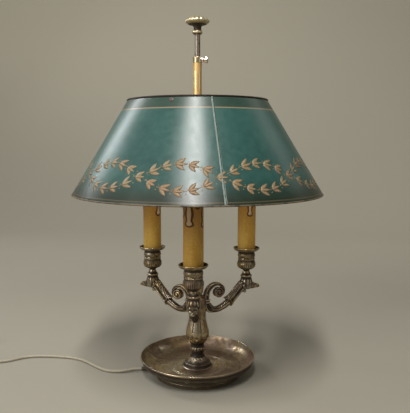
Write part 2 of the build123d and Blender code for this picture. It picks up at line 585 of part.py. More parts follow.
# ---------------------------------------------------------------- sliding sleeve and thumb screw
shade_sleeve = turned(
    [(SLIDER_BORE, SLIDER_BOTTOM_Z), (SLIDER_FLANGE_R, SLIDER_BOTTOM_Z)],
    [(SLIDER_FLANGE_R, SPIDER_Z), (SLIDER_R, SPIDER_Z)],
    [(SLIDER_R, SLIDER_COLLAR_Z), (SLIDER_BORE, SLIDER_COLLAR_Z)],
)
save(shade_sleeve, "shade_sleeve")
screw_hole = Pos(SCREW_BOSS_REACH / 2, 0, SCREW_Z) * Rot(0, 90, 0) * Cylinder(
    SCREW_R + RUNNING_FIT, SCREW_BOSS_REACH + 2)
collar_top = SLIDER_COLLAR_Z + SLIDER_COLLAR_H
sleeve_collar = turned(
    [(SLIDER_BORE, SLIDER_COLLAR_Z), (SLIDER_COLLAR_R, SLIDER_COLLAR_Z)],
    [(SLIDER_COLLAR_R, collar_top - 1.2), (SLIDER_COLLAR_R - 0.9, collar_top)],
    [(SLIDER_BORE, collar_top)],
)
boss_place = Pos(SCREW_BOSS_REACH / 2, 0, SCREW_Z) * Rot(0, 90, 0)
boss = boss_place * Cylinder(SCREW_BOSS_R, SCREW_BOSS_REACH)
boss -= Pos(0, 0, SCREW_Z) * Cylinder(SLIDER_COLLAR_R - 0.4, 2 * SLIDER_COLLAR_H)
save(sleeve_collar + boss - screw_hole, "sleeve_collar")

shank_start = ROD_R + RUNNING_FIT
head_at = SCREW_BOSS_REACH + SCREW_HEAD_GAP
shank = Pos((shank_start + head_at) / 2, 0, 0) * Rot(0, 90, 0) * Cylinder(
    SCREW_R, head_at - shank_start)
head = Pos(head_at + SCREW_HEAD_T / 2, 0, 0) * Rot(0, 90, 0) * Cylinder(SCREW_HEAD_R, SCREW_HEAD_T)
head = chamfer(head.edges().filter_by(GeomType.CIRCLE), 0.7)
save(Pos(0, 0, SCREW_Z) * (shank + head), "thumb_screw")


# ---------------------------------------------------------------- shade
def cone_r(z, outset=0.0):
    """Radius at a height of the sheet's outer face, moved out square to the slope."""
    along = (z - SHADE_BOTTOM_Z) / (SHADE_TOP_Z - SHADE_BOTTOM_Z)
    middle = SHADE_BOTTOM_R + along * (SHADE_TOP_R - SHADE_BOTTOM_R)
    return middle + outset / cos(radians(SHADE_LEAN))


def cone_shell(inner, outer, low, high, sweep_angle):
    """Part of a conical shell between two outsets from the sheet's outer face."""
    return revolve(outline(
        [(cone_r(low, inner), low), (cone_r(low, outer), low)],
        [(cone_r(high, outer), high), (cone_r(high, inner), high)],
    ), Axis.Z, sweep_angle)


def bead(radius, z, thickness):
    """A round wire, rolled into the sheet's edge."""
    return Pos(0, 0, z) * Torus(radius, thickness)


def on_slope(shape, below_top, angle):
    """Place a shape made in the XY plane, facing +Z, on the sheet's outer face."""
    fall = below_top / SHADE_SLOPE
    radius = SHADE_TOP_R + fall * (SHADE_BOTTOM_R - SHADE_TOP_R)
    height = SHADE_TOP_Z - fall * (SHADE_TOP_Z - SHADE_BOTTOM_Z)
    return Rot(0, 0, angle) * Pos(radius, 0, height) * Rot(0, 90 - SHADE_LEAN, 0) * shape


sheet_middle = -SHADE_SHEET / 2
top_bead = bead(cone_r(SHADE_TOP_Z, sheet_middle), SHADE_TOP_Z, TOP_BEAD_R)
bottom_bead = bead(cone_r(SHADE_BOTTOM_Z, sheet_middle), SHADE_BOTTOM_Z, BOTTOM_BEAD_R)
save(top_bead, "shade_top_bead")
save(bottom_bead, "shade_bottom_bead")

TAB_MIDDLE = RIVET_BELOW_TOP + SPIDER_TAB / 2 - RIVET_HEAD_R
spider_angles = [SPIDER_AT + 360 / SPIDER_ARMS * k for k in range(SPIDER_ARMS)]
rivet_shank = Pos(0, 0, -SHADE_SHEET) * Cylinder(RIVET_R, 4 * SHADE_SHEET + 2 * SPIDER_BAR_T)
panel_angle = 360 / len(SHADE_PANELS)
panel_cone = cone_shell(-SHADE_SHEET, 0, SHADE_BOTTOM_Z, SHADE_TOP_Z, panel_angle)
seams = []
for k, name in enumerate(SHADE_PANELS):
    seam_turn = Rot(0, 0, SEAM_AT + panel_angle * k)
    panel = seam_turn * panel_cone - top_bead - bottom_bead
    for angle in spider_angles:
        panel -= on_slope(rivet_shank, RIVET_BELOW_TOP, angle)
    save(panel, f"shade_panel_{name}")
    strip = cone_shell(0, SEAM_THICKNESS, SHADE_BOTTOM_Z + BOTTOM_BEAD_R + 0.2,
                       SHADE_TOP_Z - TOP_BEAD_R - 0.3, 360)
    middle_r = (SHADE_BOTTOM_R + SHADE_TOP_R) / 2
    strip &= Pos(middle_r, 0, (SHADE_BOTTOM_Z + SHADE_TOP_Z) / 2) * Box(
        2 * middle_r, SEAM_WIDTH, SHADE_SLOPE)
    strip = seam_turn * strip - top_bead - bottom_bead
    seams.append(strip)
save(Compound(children=[piece for strip in seams for piece in strip.solids()]), "shade_seam_strips")

# Spider: a hub that turns on the sliding sleeve's flange, three bars and their riveted tabs
hub_top = SPIDER_Z + SPIDER_HUB_H
spider_hub = tube(SPIDER_HUB_R, SLIDER_R + RUNNING_FIT, SPIDER_Z, hub_top)
save(spider_hub, "spider_hub")
bars, rivets = [], []
for angle in spider_angles:
    tab_middle = Pos(0, 0, -SHADE_SHEET - SPIDER_BAR_T / 2)
    tab = on_slope(tab_middle * Box(SPIDER_TAB, SPIDER_BAR_W, SPIDER_BAR_T), TAB_MIDDLE, angle)
    bar_z = SPIDER_Z + SPIDER_HUB_H / 2
    bar_reach = cone_r(bar_z, -SHADE_SHEET - SPIDER_BAR_T / 2)
    bar = Pos((SPIDER_HUB_R + bar_reach) / 2, 0, bar_z) * Box(
        bar_reach - SPIDER_HUB_R, SPIDER_BAR_W, SPIDER_BAR_T)
    bar = Rot(0, 0, angle) * (bar + Pos(SPIDER_HUB_R, 0, bar_z) * Box(2, SPIDER_BAR_W, SPIDER_BAR_T))
    bar -= tube(SPIDER_HUB_R, SLIDER_R, SPIDER_Z, hub_top)
    bar = bar + tab
    bar -= cone_shell(-SHADE_SHEET, 20, SHADE_BOTTOM_Z, SHADE_TOP_Z + 20, 360)
    bar -= on_slope(rivet_shank, RIVET_BELOW_TOP, angle)
    bars.append(bar)
    length = SHADE_SHEET + SPIDER_BAR_T
    shank = Pos(0, 0, -length / 2) * Cylinder(RIVET_R, length)
    dome = Pos(0, 0, 0.35) * Cylinder(RIVET_HEAD_R, 0.7) + Pos(0, 0, 0.7) * Cone(
        RIVET_HEAD_R, 0.5 * RIVET_HEAD_R, RIVET_HEAD_H - 0.7,
        align=(Align.CENTER, Align.CENTER, Align.MIN))
    rivet = on_slope(shank + dome, RIVET_BELOW_TOP, angle)
    rivets.append(rivet)
save(Compound(children=[solid for bar in bars for solid in bar.solids()]), "spider_bars")
save(Compound(children=[solid for rivet in rivets for solid in rivet.solids()]), "spider_rivets")


# ---------------------------------------------------------------- cord, switch and plug
def lead(points, radii, diameter=CORD_D):
    """A round lead along straight runs joined by tangent arcs."""
    path = FilletPolyline(*points, radius=radii)
    section = Plane(origin=path @ 0, z_dir=path % 0) * Circle(diameter / 2)
    swept = sweep(section, path=path)
    share = swept.volume / (pi * diameter**2 / 4 * path.length)
    print(f"lead of {path.length:.1f} mm, volume / (section x length) = {share:.4f}")
    return swept


def easy_radii(points):
    """At each corner, the largest radius that its two runs allow."""
    radii = []
    for before, here, after in zip(points, points[1:], points[2:]):
        run_in = Vector(*here) - Vector(*before)
        run_out = Vector(*after) - Vector(*here)
        turn = radians(run_in.get_angle(run_out))
        radii.append(0.45 * min(run_in.length, run_out.length) / tan(turn / 2))
    print("radii", [round(radius, 1) for radius in radii])
    return radii


def free_cord(points):
    """A stretch of the free cord, with the easiest bends that its route allows."""
    return lead(points, easy_radii(points))


save(free_cord(CORD_ROUTE), "lamp_cord")

lead_points = [
    (FOOT_RING_R + BUSH_LENGTH, 0, BUSH_Z), (0.75 * FOOT_RING_R, 0, BUSH_Z),
    (0.42 * FOOT_RING_R, 0, LEAD_LOW_Z), (0, 0, LEAD_LOW_Z), (0, 0, HUB_TOP_Z),
]
save(Rot(0, 0, BUSH_AT) * lead(lead_points, [LEAD_BEND_R, LEAD_BEND_R, LEAD_TURN_R]), "inner_lead")
bush = revolve(outline(
    ((CORD_D / 2, 0), (BUSH_FLANGE_R, 0), (BUSH_FLANGE_R, BUSH_FLANGE_T)),
    [(BUSH_R, BUSH_FLANGE_T), (BUSH_R, BUSH_FLANGE_T + FOOT_RING_WALL)],
    [(BUSH_R + 0.4, BUSH_FLANGE_T + FOOT_RING_WALL)],
    [(BUSH_R + 0.2, BUSH_FLANGE_T + FOOT_RING_WALL + 1.2)],
    [(BUSH_TIP_R, BUSH_FLANGE_T + FOOT_RING_WALL + BUSH_LENGTH)],
    [(CORD_D / 2, BUSH_FLANGE_T + FOOT_RING_WALL + BUSH_LENGTH)],
), Axis.Z)
bush_start = FOOT_RING_R - FOOT_RING_WALL - BUSH_FLANGE_T
bush = Rot(0, 0, BUSH_AT) * Pos(bush_start, 0, BUSH_Z) * Rot(0, 90, 0) * bush
bush -= dish
save(bush, "cord_bush")

# In-line rocker switch: two moulded halves, the rocker and the two screws
switch_place = Pos(SWITCH_AT[0], SWITCH_AT[1], 0)


def switch_half(low, high, rounded_edge):
    """One moulded half between two heights, with the edge of its outer face rounded."""
    plan = RectangleRounded(SWITCH_L, SWITCH_W, SWITCH_W / 2 - SWITCH_EDGE)
    block = extrude(Pos(0, 0, low) * plan, high - low)
    face = block.faces().sort_by(Axis.Z)[rounded_edge]
    return fillet(face.edges(), SWITCH_EDGE)


switch_base = switch_half(0, SWITCH_SPLIT_Z, 0)
switch_cover = switch_half(SWITCH_SPLIT_Z, SWITCH_H, -1)
rocker_dip = ROCKER_L / 2 * sin(radians(ROCKER_TILT))
pocket_floor = ROCKER_PIN_Z - ROCKER_T / 2 - rocker_dip - LOOSE_GAP
pocket = Pos(0, 0, (pocket_floor + SWITCH_H) / 2 + 1) * Box(
    ROCKER_L + 1.6, ROCKER_W + 2 * LOOSE_GAP, SWITCH_H - pocket_floor + 2)
pin_length = ROCKER_W + 2.6
pin = Pos(0, 0, ROCKER_PIN_Z) * Rot(90, 0, 0) * Cylinder(ROCKER_PIN_R, pin_length)
pin_hole = Pos(0, 0, ROCKER_PIN_Z) * Rot(90, 0, 0) * Cylinder(
    ROCKER_PIN_R + RUNNING_FIT, pin_length + 2 * LOOSE_GAP)
switch_cover = switch_cover - pocket - pin_hole
screw_x = SWITCH_L / 2 - 8.5
switch_screws = []
for side in (-1, 1):
    low, high = 0.8, SWITCH_SPLIT_Z + 4
    screw = Pos(side * screw_x, 0, (low + high) / 2) * Cylinder(SWITCH_SCREW_R, high - low)
    screw += Pos(side * screw_x, 0, low + 0.9) * Cylinder(SWITCH_SCREW_HEAD_R, 1.8)
    mouth = Pos(side * screw_x, 0, 0) * Cylinder(SWITCH_SCREW_HEAD_R, 2 * low)
    switch_base = switch_base - screw - mouth
    switch_cover -= screw
    switch_screws.append(switch_place * screw)
save(switch_place * switch_base, "switch_base")
save(switch_place * switch_cover, "switch_cover")
save(Compound(children=[solid for screw in switch_screws for solid in screw.solids()]), "switch_screws")

half_l, half_t = ROCKER_L / 2, ROCKER_T / 2
rocker = extrude(outline(
    [(-half_l + 0.6, -half_t), (half_l - 0.6, -half_t)],
    [(half_l, half_t + 0.6), (0, half_t + 0.6 - ROCKER_DISH), (-half_l, half_t + 0.6)],
), ROCKER_W / 2, both=True)
rocker = Pos(0, 0, ROCKER_PIN_Z) * Rot(0, ROCKER_TILT, 0) * rocker + pin
save(switch_place * rocker, "switch_rocker")

# The coil that the spare cord is put away in, and the leads into and out of it
coil_width = COIL_COLUMNS * CORD_D
coil_height = COIL_LAYERS * CORD_D
coil_in, coil_out = COIL_MEAN_R - coil_width / 2, COIL_MEAN_R + coil_width / 2
coil_section = Plane.XZ * Pos(COIL_MEAN_R, coil_height / 2) * RectangleRounded(
    coil_width, coil_height, 0.9 * CORD_D)
coil = Pos(COIL_AT[0], COIL_AT[1], 0) * revolve(coil_section, Axis.Z)
save(coil, "cord_coil")

outer_turn = coil_out - CORD_D / 2
switch_far_x = SWITCH_AT[0] - SWITCH_L / 2
to_coil = [
    (switch_far_x, SWITCH_AT[1], SWITCH_SPLIT_Z),
    (switch_far_x - 9, SWITCH_AT[1], SWITCH_SPLIT_Z),
    (switch_far_x - 19, SWITCH_AT[1] + 0.4, 6.3),
    (switch_far_x - 31, SWITCH_AT[1] + 0.2, 3.2),
    (COIL_AT[0] + 6, COIL_AT[1] - outer_turn + 0.4, CORD_ON_FLOOR),
]
save(free_cord(to_coil) - coil, "cord_to_coil")
plug_x = COIL_AT[0] + 53
plug_y = COIL_AT[1] + outer_turn + 17.6
to_plug = [
    (COIL_AT[0] + 2, COIL_AT[1] + outer_turn, coil_height - CORD_D / 2),
    (COIL_AT[0] + 13, COIL_AT[1] + outer_turn + 1.2, coil_height - CORD_D / 2 - 0.2),
    (COIL_AT[0] + 23.5, COIL_AT[1] + outer_turn + 6.2, PLUG_T / 2 + 2.2),
    (COIL_AT[0] + 32.5, COIL_AT[1] + outer_turn + 13.2, PLUG_T / 2 + 0.6),
    (plug_x - 10.5, plug_y, PLUG_T / 2),
    (plug_x, plug_y, PLUG_T / 2),
]
save(free_cord(to_plug) - coil, "cord_to_plug")

plug_face = Plane(origin=(PLUG_L, 0, 0), x_dir=(0, 1, 0), z_dir=(1, 0, 0))
plug_shoulder = Plane(origin=(0.62 * PLUG_L, 0, 0), x_dir=(0, 1, 0), z_dir=(1, 0, 0))
plug_neck = Plane(origin=(0, 0, 0), x_dir=(0, 1, 0), z_dir=(1, 0, 0))
plug_body = loft([
    plug_neck * RectangleRounded(PLUG_NECK, PLUG_NECK, 0.42 * PLUG_NECK),
    plug_shoulder * RectangleRounded(0.86 * PLUG_W, PLUG_T - 0.6, 5.5),
    plug_face * RectangleRounded(PLUG_W, PLUG_T, 6.0),
])
pins = []
plug_place = Pos(plug_x, plug_y, PLUG_T / 2)
for side in (-1, 1):
    pin_place = Pos(PLUG_L + PIN_L / 2, side * PIN_SPACING / 2, 0) * Rot(0, 90, 0)
    plug_pin = pin_place * Cylinder(PIN_R, PIN_L)
    pins.append(plug_place * chamfer(plug_pin.edges().sort_by(Axis.X)[-1], PIN_CHAMFER))
save(plug_place * plug_body, "plug_body")
save(Compound(children=[solid for plug_pin in pins for solid in plug_pin.solids()]), "plug_pins")
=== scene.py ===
import json
from math import atan2, cos, pi, radians, sin

import bmesh
import bpy
import numpy as np
from mathutils import Matrix, Vector

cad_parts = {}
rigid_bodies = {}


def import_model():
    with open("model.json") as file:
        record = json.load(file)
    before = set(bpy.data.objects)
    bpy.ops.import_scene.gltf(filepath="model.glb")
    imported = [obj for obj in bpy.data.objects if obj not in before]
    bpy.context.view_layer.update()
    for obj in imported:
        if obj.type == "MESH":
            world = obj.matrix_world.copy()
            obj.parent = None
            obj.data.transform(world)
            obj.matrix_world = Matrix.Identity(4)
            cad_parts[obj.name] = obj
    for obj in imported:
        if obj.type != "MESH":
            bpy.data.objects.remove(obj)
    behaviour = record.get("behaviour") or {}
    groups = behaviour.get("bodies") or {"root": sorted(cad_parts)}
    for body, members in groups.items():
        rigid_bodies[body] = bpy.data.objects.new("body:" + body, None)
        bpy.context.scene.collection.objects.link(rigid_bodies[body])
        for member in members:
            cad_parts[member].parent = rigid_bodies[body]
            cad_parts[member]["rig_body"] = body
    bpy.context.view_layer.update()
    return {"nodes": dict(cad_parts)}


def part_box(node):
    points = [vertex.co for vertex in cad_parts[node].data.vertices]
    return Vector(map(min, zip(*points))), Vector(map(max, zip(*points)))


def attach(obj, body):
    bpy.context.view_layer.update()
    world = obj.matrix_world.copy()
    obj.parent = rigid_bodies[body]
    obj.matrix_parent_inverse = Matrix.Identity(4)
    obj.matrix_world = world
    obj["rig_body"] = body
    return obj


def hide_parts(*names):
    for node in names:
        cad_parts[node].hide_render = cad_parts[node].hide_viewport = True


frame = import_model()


# ================================================================ the studio
# A pale sheet of board that runs over the table and curves up behind it, five soft lamps hung
# round the object, and the camera on its stand.
class Wire:
    """A socket among a finish's nodes.  Arithmetic on wires and numbers adds Math nodes, and
    node() adds any other."""

    def __init__(self, tree, socket=None):
        self.tree, self.socket = tree, socket

    def node(self, kind, settings=None, sockets=None, output=0):
        """Add a node of a type.  Its settings come first, and then its sockets' values or links.
        Returns one of its outputs."""
        made = self.tree.nodes.new(f"ShaderNode{kind}")
        for name, value in (settings or {}).items():
            setattr(made, name, value)
        for name, value in (sockets or {}).items():
            if isinstance(value, Wire):
                self.tree.links.new(value.socket, made.inputs[name])
            else:
                made.inputs[name].default_value = value
        return Wire(self.tree, made.outputs[output])

    def maths(self, operation, *values):
        """A Math node of that operation on these values."""
        return self.node("Math", {"operation": operation}, dict(enumerate(values)))

    def __add__(self, other):
        return self.maths("ADD", self, other)

    def __sub__(self, other):
        return self.maths("SUBTRACT", self, other)

    def __rsub__(self, other):
        return self.maths("SUBTRACT", other, self)

    def __mul__(self, other):
        return self.maths("MULTIPLY", self, other)

    __radd__, __rmul__ = __add__, __mul__

    def __abs__(self):
        return self.maths("ABSOLUTE", self)

    def rise(self, low, high):
        """0 below low, 1 above high, and a smooth step between."""
        return self.node("MapRange", {"interpolation_type": "SMOOTHSTEP"}, {0: self, 1: low, 2: high})

    def blend(self, here, there):
        """A colour between two, by this wire as the share of the second."""
        mixed = {0: self, 6: colour(here), 7: colour(there)}
        return self.node("Mix", {"data_type": "RGBA"}, mixed, 2)

    def place(self):
        """Where a point is on the piece, in metres."""
        return self.node("TexCoord", output="Object")

    def along(self, axis):
        """How far along an axis a point is, in metres."""
        return self.node("SeparateXYZ", None, {0: self.place()}, axis)

    def mark(self, name):
        """The value of one of the mesh's attributes."""
        return self.node("Attribute", {"attribute_name": name}, output="Fac")

    def noise(self, scale, detail, squeeze=(1, 1, 1)):
        """Cloudy noise of that many grains to a metre, squeezed along the axes.  Detail is how many
        times finer grain is laid over it."""
        spot = self.node("Mapping", None, {"Vector": self.place(), "Scale": squeeze})
        return self.node("TexNoise", None, {"Vector": spot, "Scale": scale, "Detail": detail})

    def bump(self, height, depth):
        """A normal from a height of 0 to 1 that stands for this depth in metres."""
        return self.node("Bump", None, {"Height": height, "Strength": 1.0, "Distance": depth})


def colour(value):
    """A plain colour with its alpha, or a wire as it is."""
    return value if isinstance(value, Wire) else (*value, 1.0)


def finish(name, surface, constants=None):
    """A new material.  The function surface takes a wire to start from and gives what changes over
    the surface, by socket; constants are the rest."""
    material = bpy.data.materials.new(name)
    material.use_nodes = True
    shader = material.node_tree.nodes["Principled BSDF"]
    for socket, value in (constants or {}).items():
        shader.inputs[socket].default_value = value
    for socket, wire in surface(Wire(material.node_tree)).items():
        material.node_tree.links.new(wire.socket, shader.inputs[socket])
    return material


def put(name, data):
    """A new object with that data, in the scene."""
    made = bpy.data.objects.new(name, data)
    bpy.context.scene.collection.objects.link(made)
    return made


def new_piece(name, points, faces, material):
    """A smooth-shaded mesh from an array of points in metres and an array of quads."""
    mesh = bpy.data.meshes.new(name)
    mesh.from_pydata(points.reshape(-1, 3).tolist(), [], faces.tolist())
    mesh.shade_smooth()
    mesh.materials.append(material)
    return put(name, mesh)


def grid_faces(rows, columns, wrap_rows=False, wrap_columns=False):
    """The quads of a grid of points, joined round at its ends where it wraps."""
    row, column = np.meshgrid(
        np.arange(rows - (not wrap_rows)), np.arange(columns - (not wrap_columns)), indexing="ij")
    here, down, right = row * columns, (row + 1) % rows * columns, (column + 1) % columns
    return np.stack([here + column, here + right, down + right, down + column], axis=-1).reshape(-1, 4)


def spread(x, y, z):
    """Points from their three coordinates, each spread over the whole grid."""
    return np.stack(np.broadcast_arrays(x, y, z), axis=-1)


def board(wire):
    """Matt board, a little uneven, and paler as it runs back and up: on the left more as it climbs,
    and on the right more as it runs back.  That rise in paleness is painted light."""
    cloud = wire.noise(3.0, 2.0)
    low = cloud.blend((0.262, 0.245, 0.199), (0.288, 0.270, 0.221))
    right = wire.along("X").rise(-1.0, 1.0)
    back = wire.along("Y").rise(0.35, 1.3)
    pale = back * (0.14 + 0.28 * right) + wire.along("Z").rise(-0.1, 0.9) * (0.59 - 0.50 * right)
    return {"Base Color": pale.blend(low, (0.69, 0.648, 0.530))}


# The board's section: flat to BEND_AT, a quarter turn of radius BEND_R, then straight up
BEND_AT, BEND_R, BOARD_TOP, BOARD_HALF = 1.2, 1.0, 4.0, 8.0
quarter = np.linspace(0, pi / 2, 24)
run = np.concatenate([[-BOARD_HALF], BEND_AT + BEND_R * np.sin(quarter), [BEND_AT + BEND_R]])
rise = np.concatenate([[0], BEND_R - BEND_R * np.cos(quarter), [BOARD_TOP]])
sheet = spread(np.array([-BOARD_HALF, BOARD_HALF]), run[:, None], rise[:, None])
floor = new_piece("floor", sheet, grid_faces(len(run), 2), finish("board", board, {"Roughness": 0.9}))

CAMERA_AT = Vector((0.05113, -0.79105, 0.33566))
CAMERA_TILT = radians(6.655)
camera = put("camera", bpy.data.cameras.new("camera"))
camera.location = CAMERA_AT
camera.rotation_euler = (pi / 2 - CAMERA_TILT, 0, atan2(CAMERA_AT.x, -CAMERA_AT.y))
camera.data.lens = 49.34
camera.data.sensor_width = 36.0
camera.data.shift_x = 0.0183
camera.data.clip_start = 0.01
bpy.context.scene.camera = camera

LAMPS_AIM = Vector((0, 0, 0.33))
# name, degrees round from +X, degrees up, distance, width, height, watts, colour
LAMPS = (
    ("strip_above", -91.8, 58.0, 1.6, 0.15, 1.10, 30.0, (1.0, 0.98, 0.95)),
    ("strip_left", 151.4, 33.0, 1.8, 0.20, 0.90, 9.0, (0.97, 0.98, 1.0)),
    ("strip_right", 29.2, 36.0, 1.8, 0.26, 0.90, 1.3, (1.0, 0.97, 0.92)),
    ("window", -140.0, 20.0, 2.0, 1.00, 1.30, 17.0, (1.0, 0.98, 0.95)),
    ("fill", -35.0, 15.0, 2.2, 1.10, 1.20, 3.6, (1.0, 0.94, 0.83)),
)
for name, round_deg, up_deg, distance, width, height, watts, tint in LAMPS:
    light = bpy.data.lights.new(name, "AREA")
    light.shape, light.size, light.size_y = "RECTANGLE", width, height
    light.energy, light.color = watts, tint
    lamp = put(name, light)
    bearing, rise_by = radians(round_deg), radians(up_deg)
    way = Vector((cos(rise_by) * cos(bearing), cos(rise_by) * sin(bearing), sin(rise_by)))
    lamp.location = LAMPS_AIM + distance * way
    lamp.rotation_euler = way.to_track_quat("Z", "Y").to_euler()

# The light that the room itself gives, fainter towards the right
world = bpy.data.worlds.new("room")
world.use_nodes = True
air = Wire(world.node_tree)
side = air.node("SeparateXYZ", None, {0: air.node("TexCoord", output="Generated")}, "X")
room = side.rise(-0.7, 0.9).blend((0.33, 0.32, 0.30), (0.085, 0.078, 0.066))
world.node_tree.links.new(room.socket, world.node_tree.nodes["Background"].inputs["Color"])
bpy.context.scene.world = world
bpy.context.scene.view_settings.view_transform = "Standard"


# ================================================================ the dished foot
# A spun and silvered bronze dish on a turned foot ring, with two turned lines round the middle.
# The column is drawn down on its raised seat by the lock nut underneath.
MM = 0.001
TURN = 2 * pi


def lengths(path):
    """How far along a line of points each of them is."""
    return np.concatenate([[0], np.cumsum(np.linalg.norm(np.diff(path, axis=0), axis=1))])


def sampled(where, known, table):
    """The rows of a table, each known at a length, read off at other lengths between them."""
    return np.stack([np.interp(where, known, column) for column in table.T], axis=-1)


def unit(vectors):
    """Vectors drawn to a length of 1."""
    return vectors / (np.linalg.norm(vectors, axis=-1, keepdims=True) + 1e-12)


def slopes(points, axis, wrap):
    """Half the way from the point before to the point after, running on round where it wraps."""
    if wrap:
        return (np.roll(points, -1, axis) - np.roll(points, 1, axis)) / 2
    return np.gradient(points, axis=axis)


def ring_angles(count):
    """A row of angles, even round a turn."""
    return np.arange(count)[None, :] * TURN / count


def spline(points, count):
    """Points along the natural cubic spline through some points.  Its second derivatives at the
    knots come from one linear system, by chord length."""
    knots = np.asarray(points, float)
    steps = np.diff(knots, axis=0)
    span, at = np.linalg.norm(steps, axis=1), lengths(knots)
    inner = np.arange(1, len(knots) - 1)
    system = np.eye(len(knots))
    system[inner, inner - 1] = span[:-1]
    system[inner, inner] = 2 * (span[:-1] + span[1:])
    system[inner, inner + 1] = span[1:]
    right = np.zeros_like(knots)
    right[1:-1] = 6 * np.diff(steps / span[:, None], axis=0)
    bend = np.linalg.solve(system, right)
    where = np.linspace(0, at[-1], count)
    k = np.clip(np.searchsorted(at, where, side="right") - 1, 0, len(span) - 1)
    ahead, behind, width = (at[k + 1] - where)[:, None], (where - at[k])[:, None], span[k][:, None]
    curve = (bend[k] * ahead**3 + bend[k + 1] * behind**3) / (6 * width)
    curve += (knots[k] / width - bend[k] * width / 6) * ahead
    return curve + (knots[k + 1] / width - bend[k + 1] * width / 6) * behind


EVEN_STEP = 0.08          # millimetres between the first, even samples of an outline
FACET = radians(9.0)      # the most that a turned outline bends from one kept sample to the next


def section(runs, closed=True, ease=0.3, step=2.0):
    """The half outline of a turned piece, in millimetres.  Runs in round brackets have corners, and
    three points or more in square brackets lie on a spline.  The outline is sampled evenly and
    averaged over the length ease, which rounds its corners, and then keeps a sample for each
    length of step and each bend of FACET."""
    parts = [spline(run, 30 * len(run)) if isinstance(run, list) and len(run) > 2 else np.array(run, float)
             for run in runs]
    path = np.vstack(parts + ([parts[0][:1]] if closed else []))
    path = path[np.concatenate([[True], np.diff(lengths(path)) > 1e-6])]
    along = lengths(path)
    dense = sampled(np.linspace(0, along[-1], max(int(along[-1] / EVEN_STEP), 16)), along, path)
    if closed:
        dense = dense[:-1]
    reach = max(int(ease / EVEN_STEP), 1)
    window = np.hanning(2 * reach + 3)[1:-1]
    padded = np.pad(dense, ((reach, reach), (0, 0)), mode="wrap" if closed else "edge")
    smooth = np.stack([np.convolve(column, window / window.sum(), "valid") for column in padded.T], axis=1)
    if not closed:
        smooth[[0, -1]] = dense[[0, -1]]
    loop = np.vstack([smooth, smooth[:1]]) if closed else smooth
    legs = np.diff(loop, axis=0)
    heading = np.unwrap(np.arctan2(legs[:, 1], legs[:, 0]))
    bent = np.abs(np.diff(heading, append=heading[-1]))
    load = np.concatenate([[0], np.cumsum(np.hypot(*legs.T) / step + bent / FACET)])
    kept = sampled(np.linspace(0, load[-1], int(load[-1]) + 2), load, loop)
    return kept[:-1] if closed else kept


HOLLOW_R = 1.1 * MM       # the radius of a groove that counts as well hollowed


def hollows(points, normals, wrap_rows, wrap_columns):
    """How hollow a grid is at each point, from -1 on a sharp ridge to 1 in a sharp groove: the sum
    of its curvatures along rows and columns times HOLLOW_R, squashed."""
    total = np.zeros(points.shape[:2])
    for axis, wrap in ((0, wrap_rows), (1, wrap_columns)):
        before, after = np.roll(points, 1, axis) - points, np.roll(points, -1, axis) - points
        near, far = np.linalg.norm(before, axis=-1) + 1e-9, np.linalg.norm(after, axis=-1) + 1e-9
        pull = before / near[..., None] + after / far[..., None]
        bend = 2 * (pull * normals).sum(axis=-1) / (near + far)
        if not wrap:
            edge = [slice(None)] * 2
            edge[axis] = [0, -1]
            bend[tuple(edge)] = 0
        total += bend
    return np.tanh(HOLLOW_R * total)


def keep(mesh, name, values):
    """Store an attribute of the mesh's vertices."""
    mesh.attributes.new(name, "FLOAT", "POINT").data.foreach_set("value", np.ravel(values))


SAME_POINT = 2e-6         # metres between points that count as one


def weld(mesh, face_out=False):
    """Join points that coincide, as at a pole, and turn the faces of closed parts outwards."""
    work = bmesh.new()
    work.from_mesh(mesh)
    bmesh.ops.remove_doubles(work, verts=work.verts, dist=SAME_POINT)
    if face_out:
        bmesh.ops.recalc_face_normals(work, faces=work.faces)
    work.to_mesh(mesh)
    work.free()


def skin(name, points, material, wrap_rows=False, wrap_columns=False, dirt_and_shade=0.0, **marks):
    """A piece from a grid of points in metres, closed round where it wraps and at its poles, with
    its faces outwards.  Its hollows, with any added dirt and painted shade, and the marks are kept
    as attributes."""
    normals = np.cross(slopes(points, 1, wrap_columns), slopes(points, 0, wrap_rows))
    faces = grid_faces(*points.shape[:2], wrap_rows, wrap_columns)
    if (normals * (points - points.mean(axis=(0, 1)))).sum() < 0:
        normals, faces = -normals, faces[:, ::-1]
    piece = new_piece(name, points, faces, material)
    marks["hollow"] = hollows(points, unit(normals), wrap_rows, wrap_columns) + dirt_and_shade
    for mark, values in marks.items():
        keep(piece.data, mark, values)
    weld(piece.data)
    return piece


def box_mm(node):
    """The two corners of a node's box, in millimetres."""
    return (np.array(corner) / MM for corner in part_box(node))


def stands_for(piece, *nodes):
    """The piece takes the place of CAD nodes: it rides on their body, and the nodes are hidden."""
    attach(piece, frame["nodes"][nodes[0]]["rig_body"])
    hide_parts(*nodes)


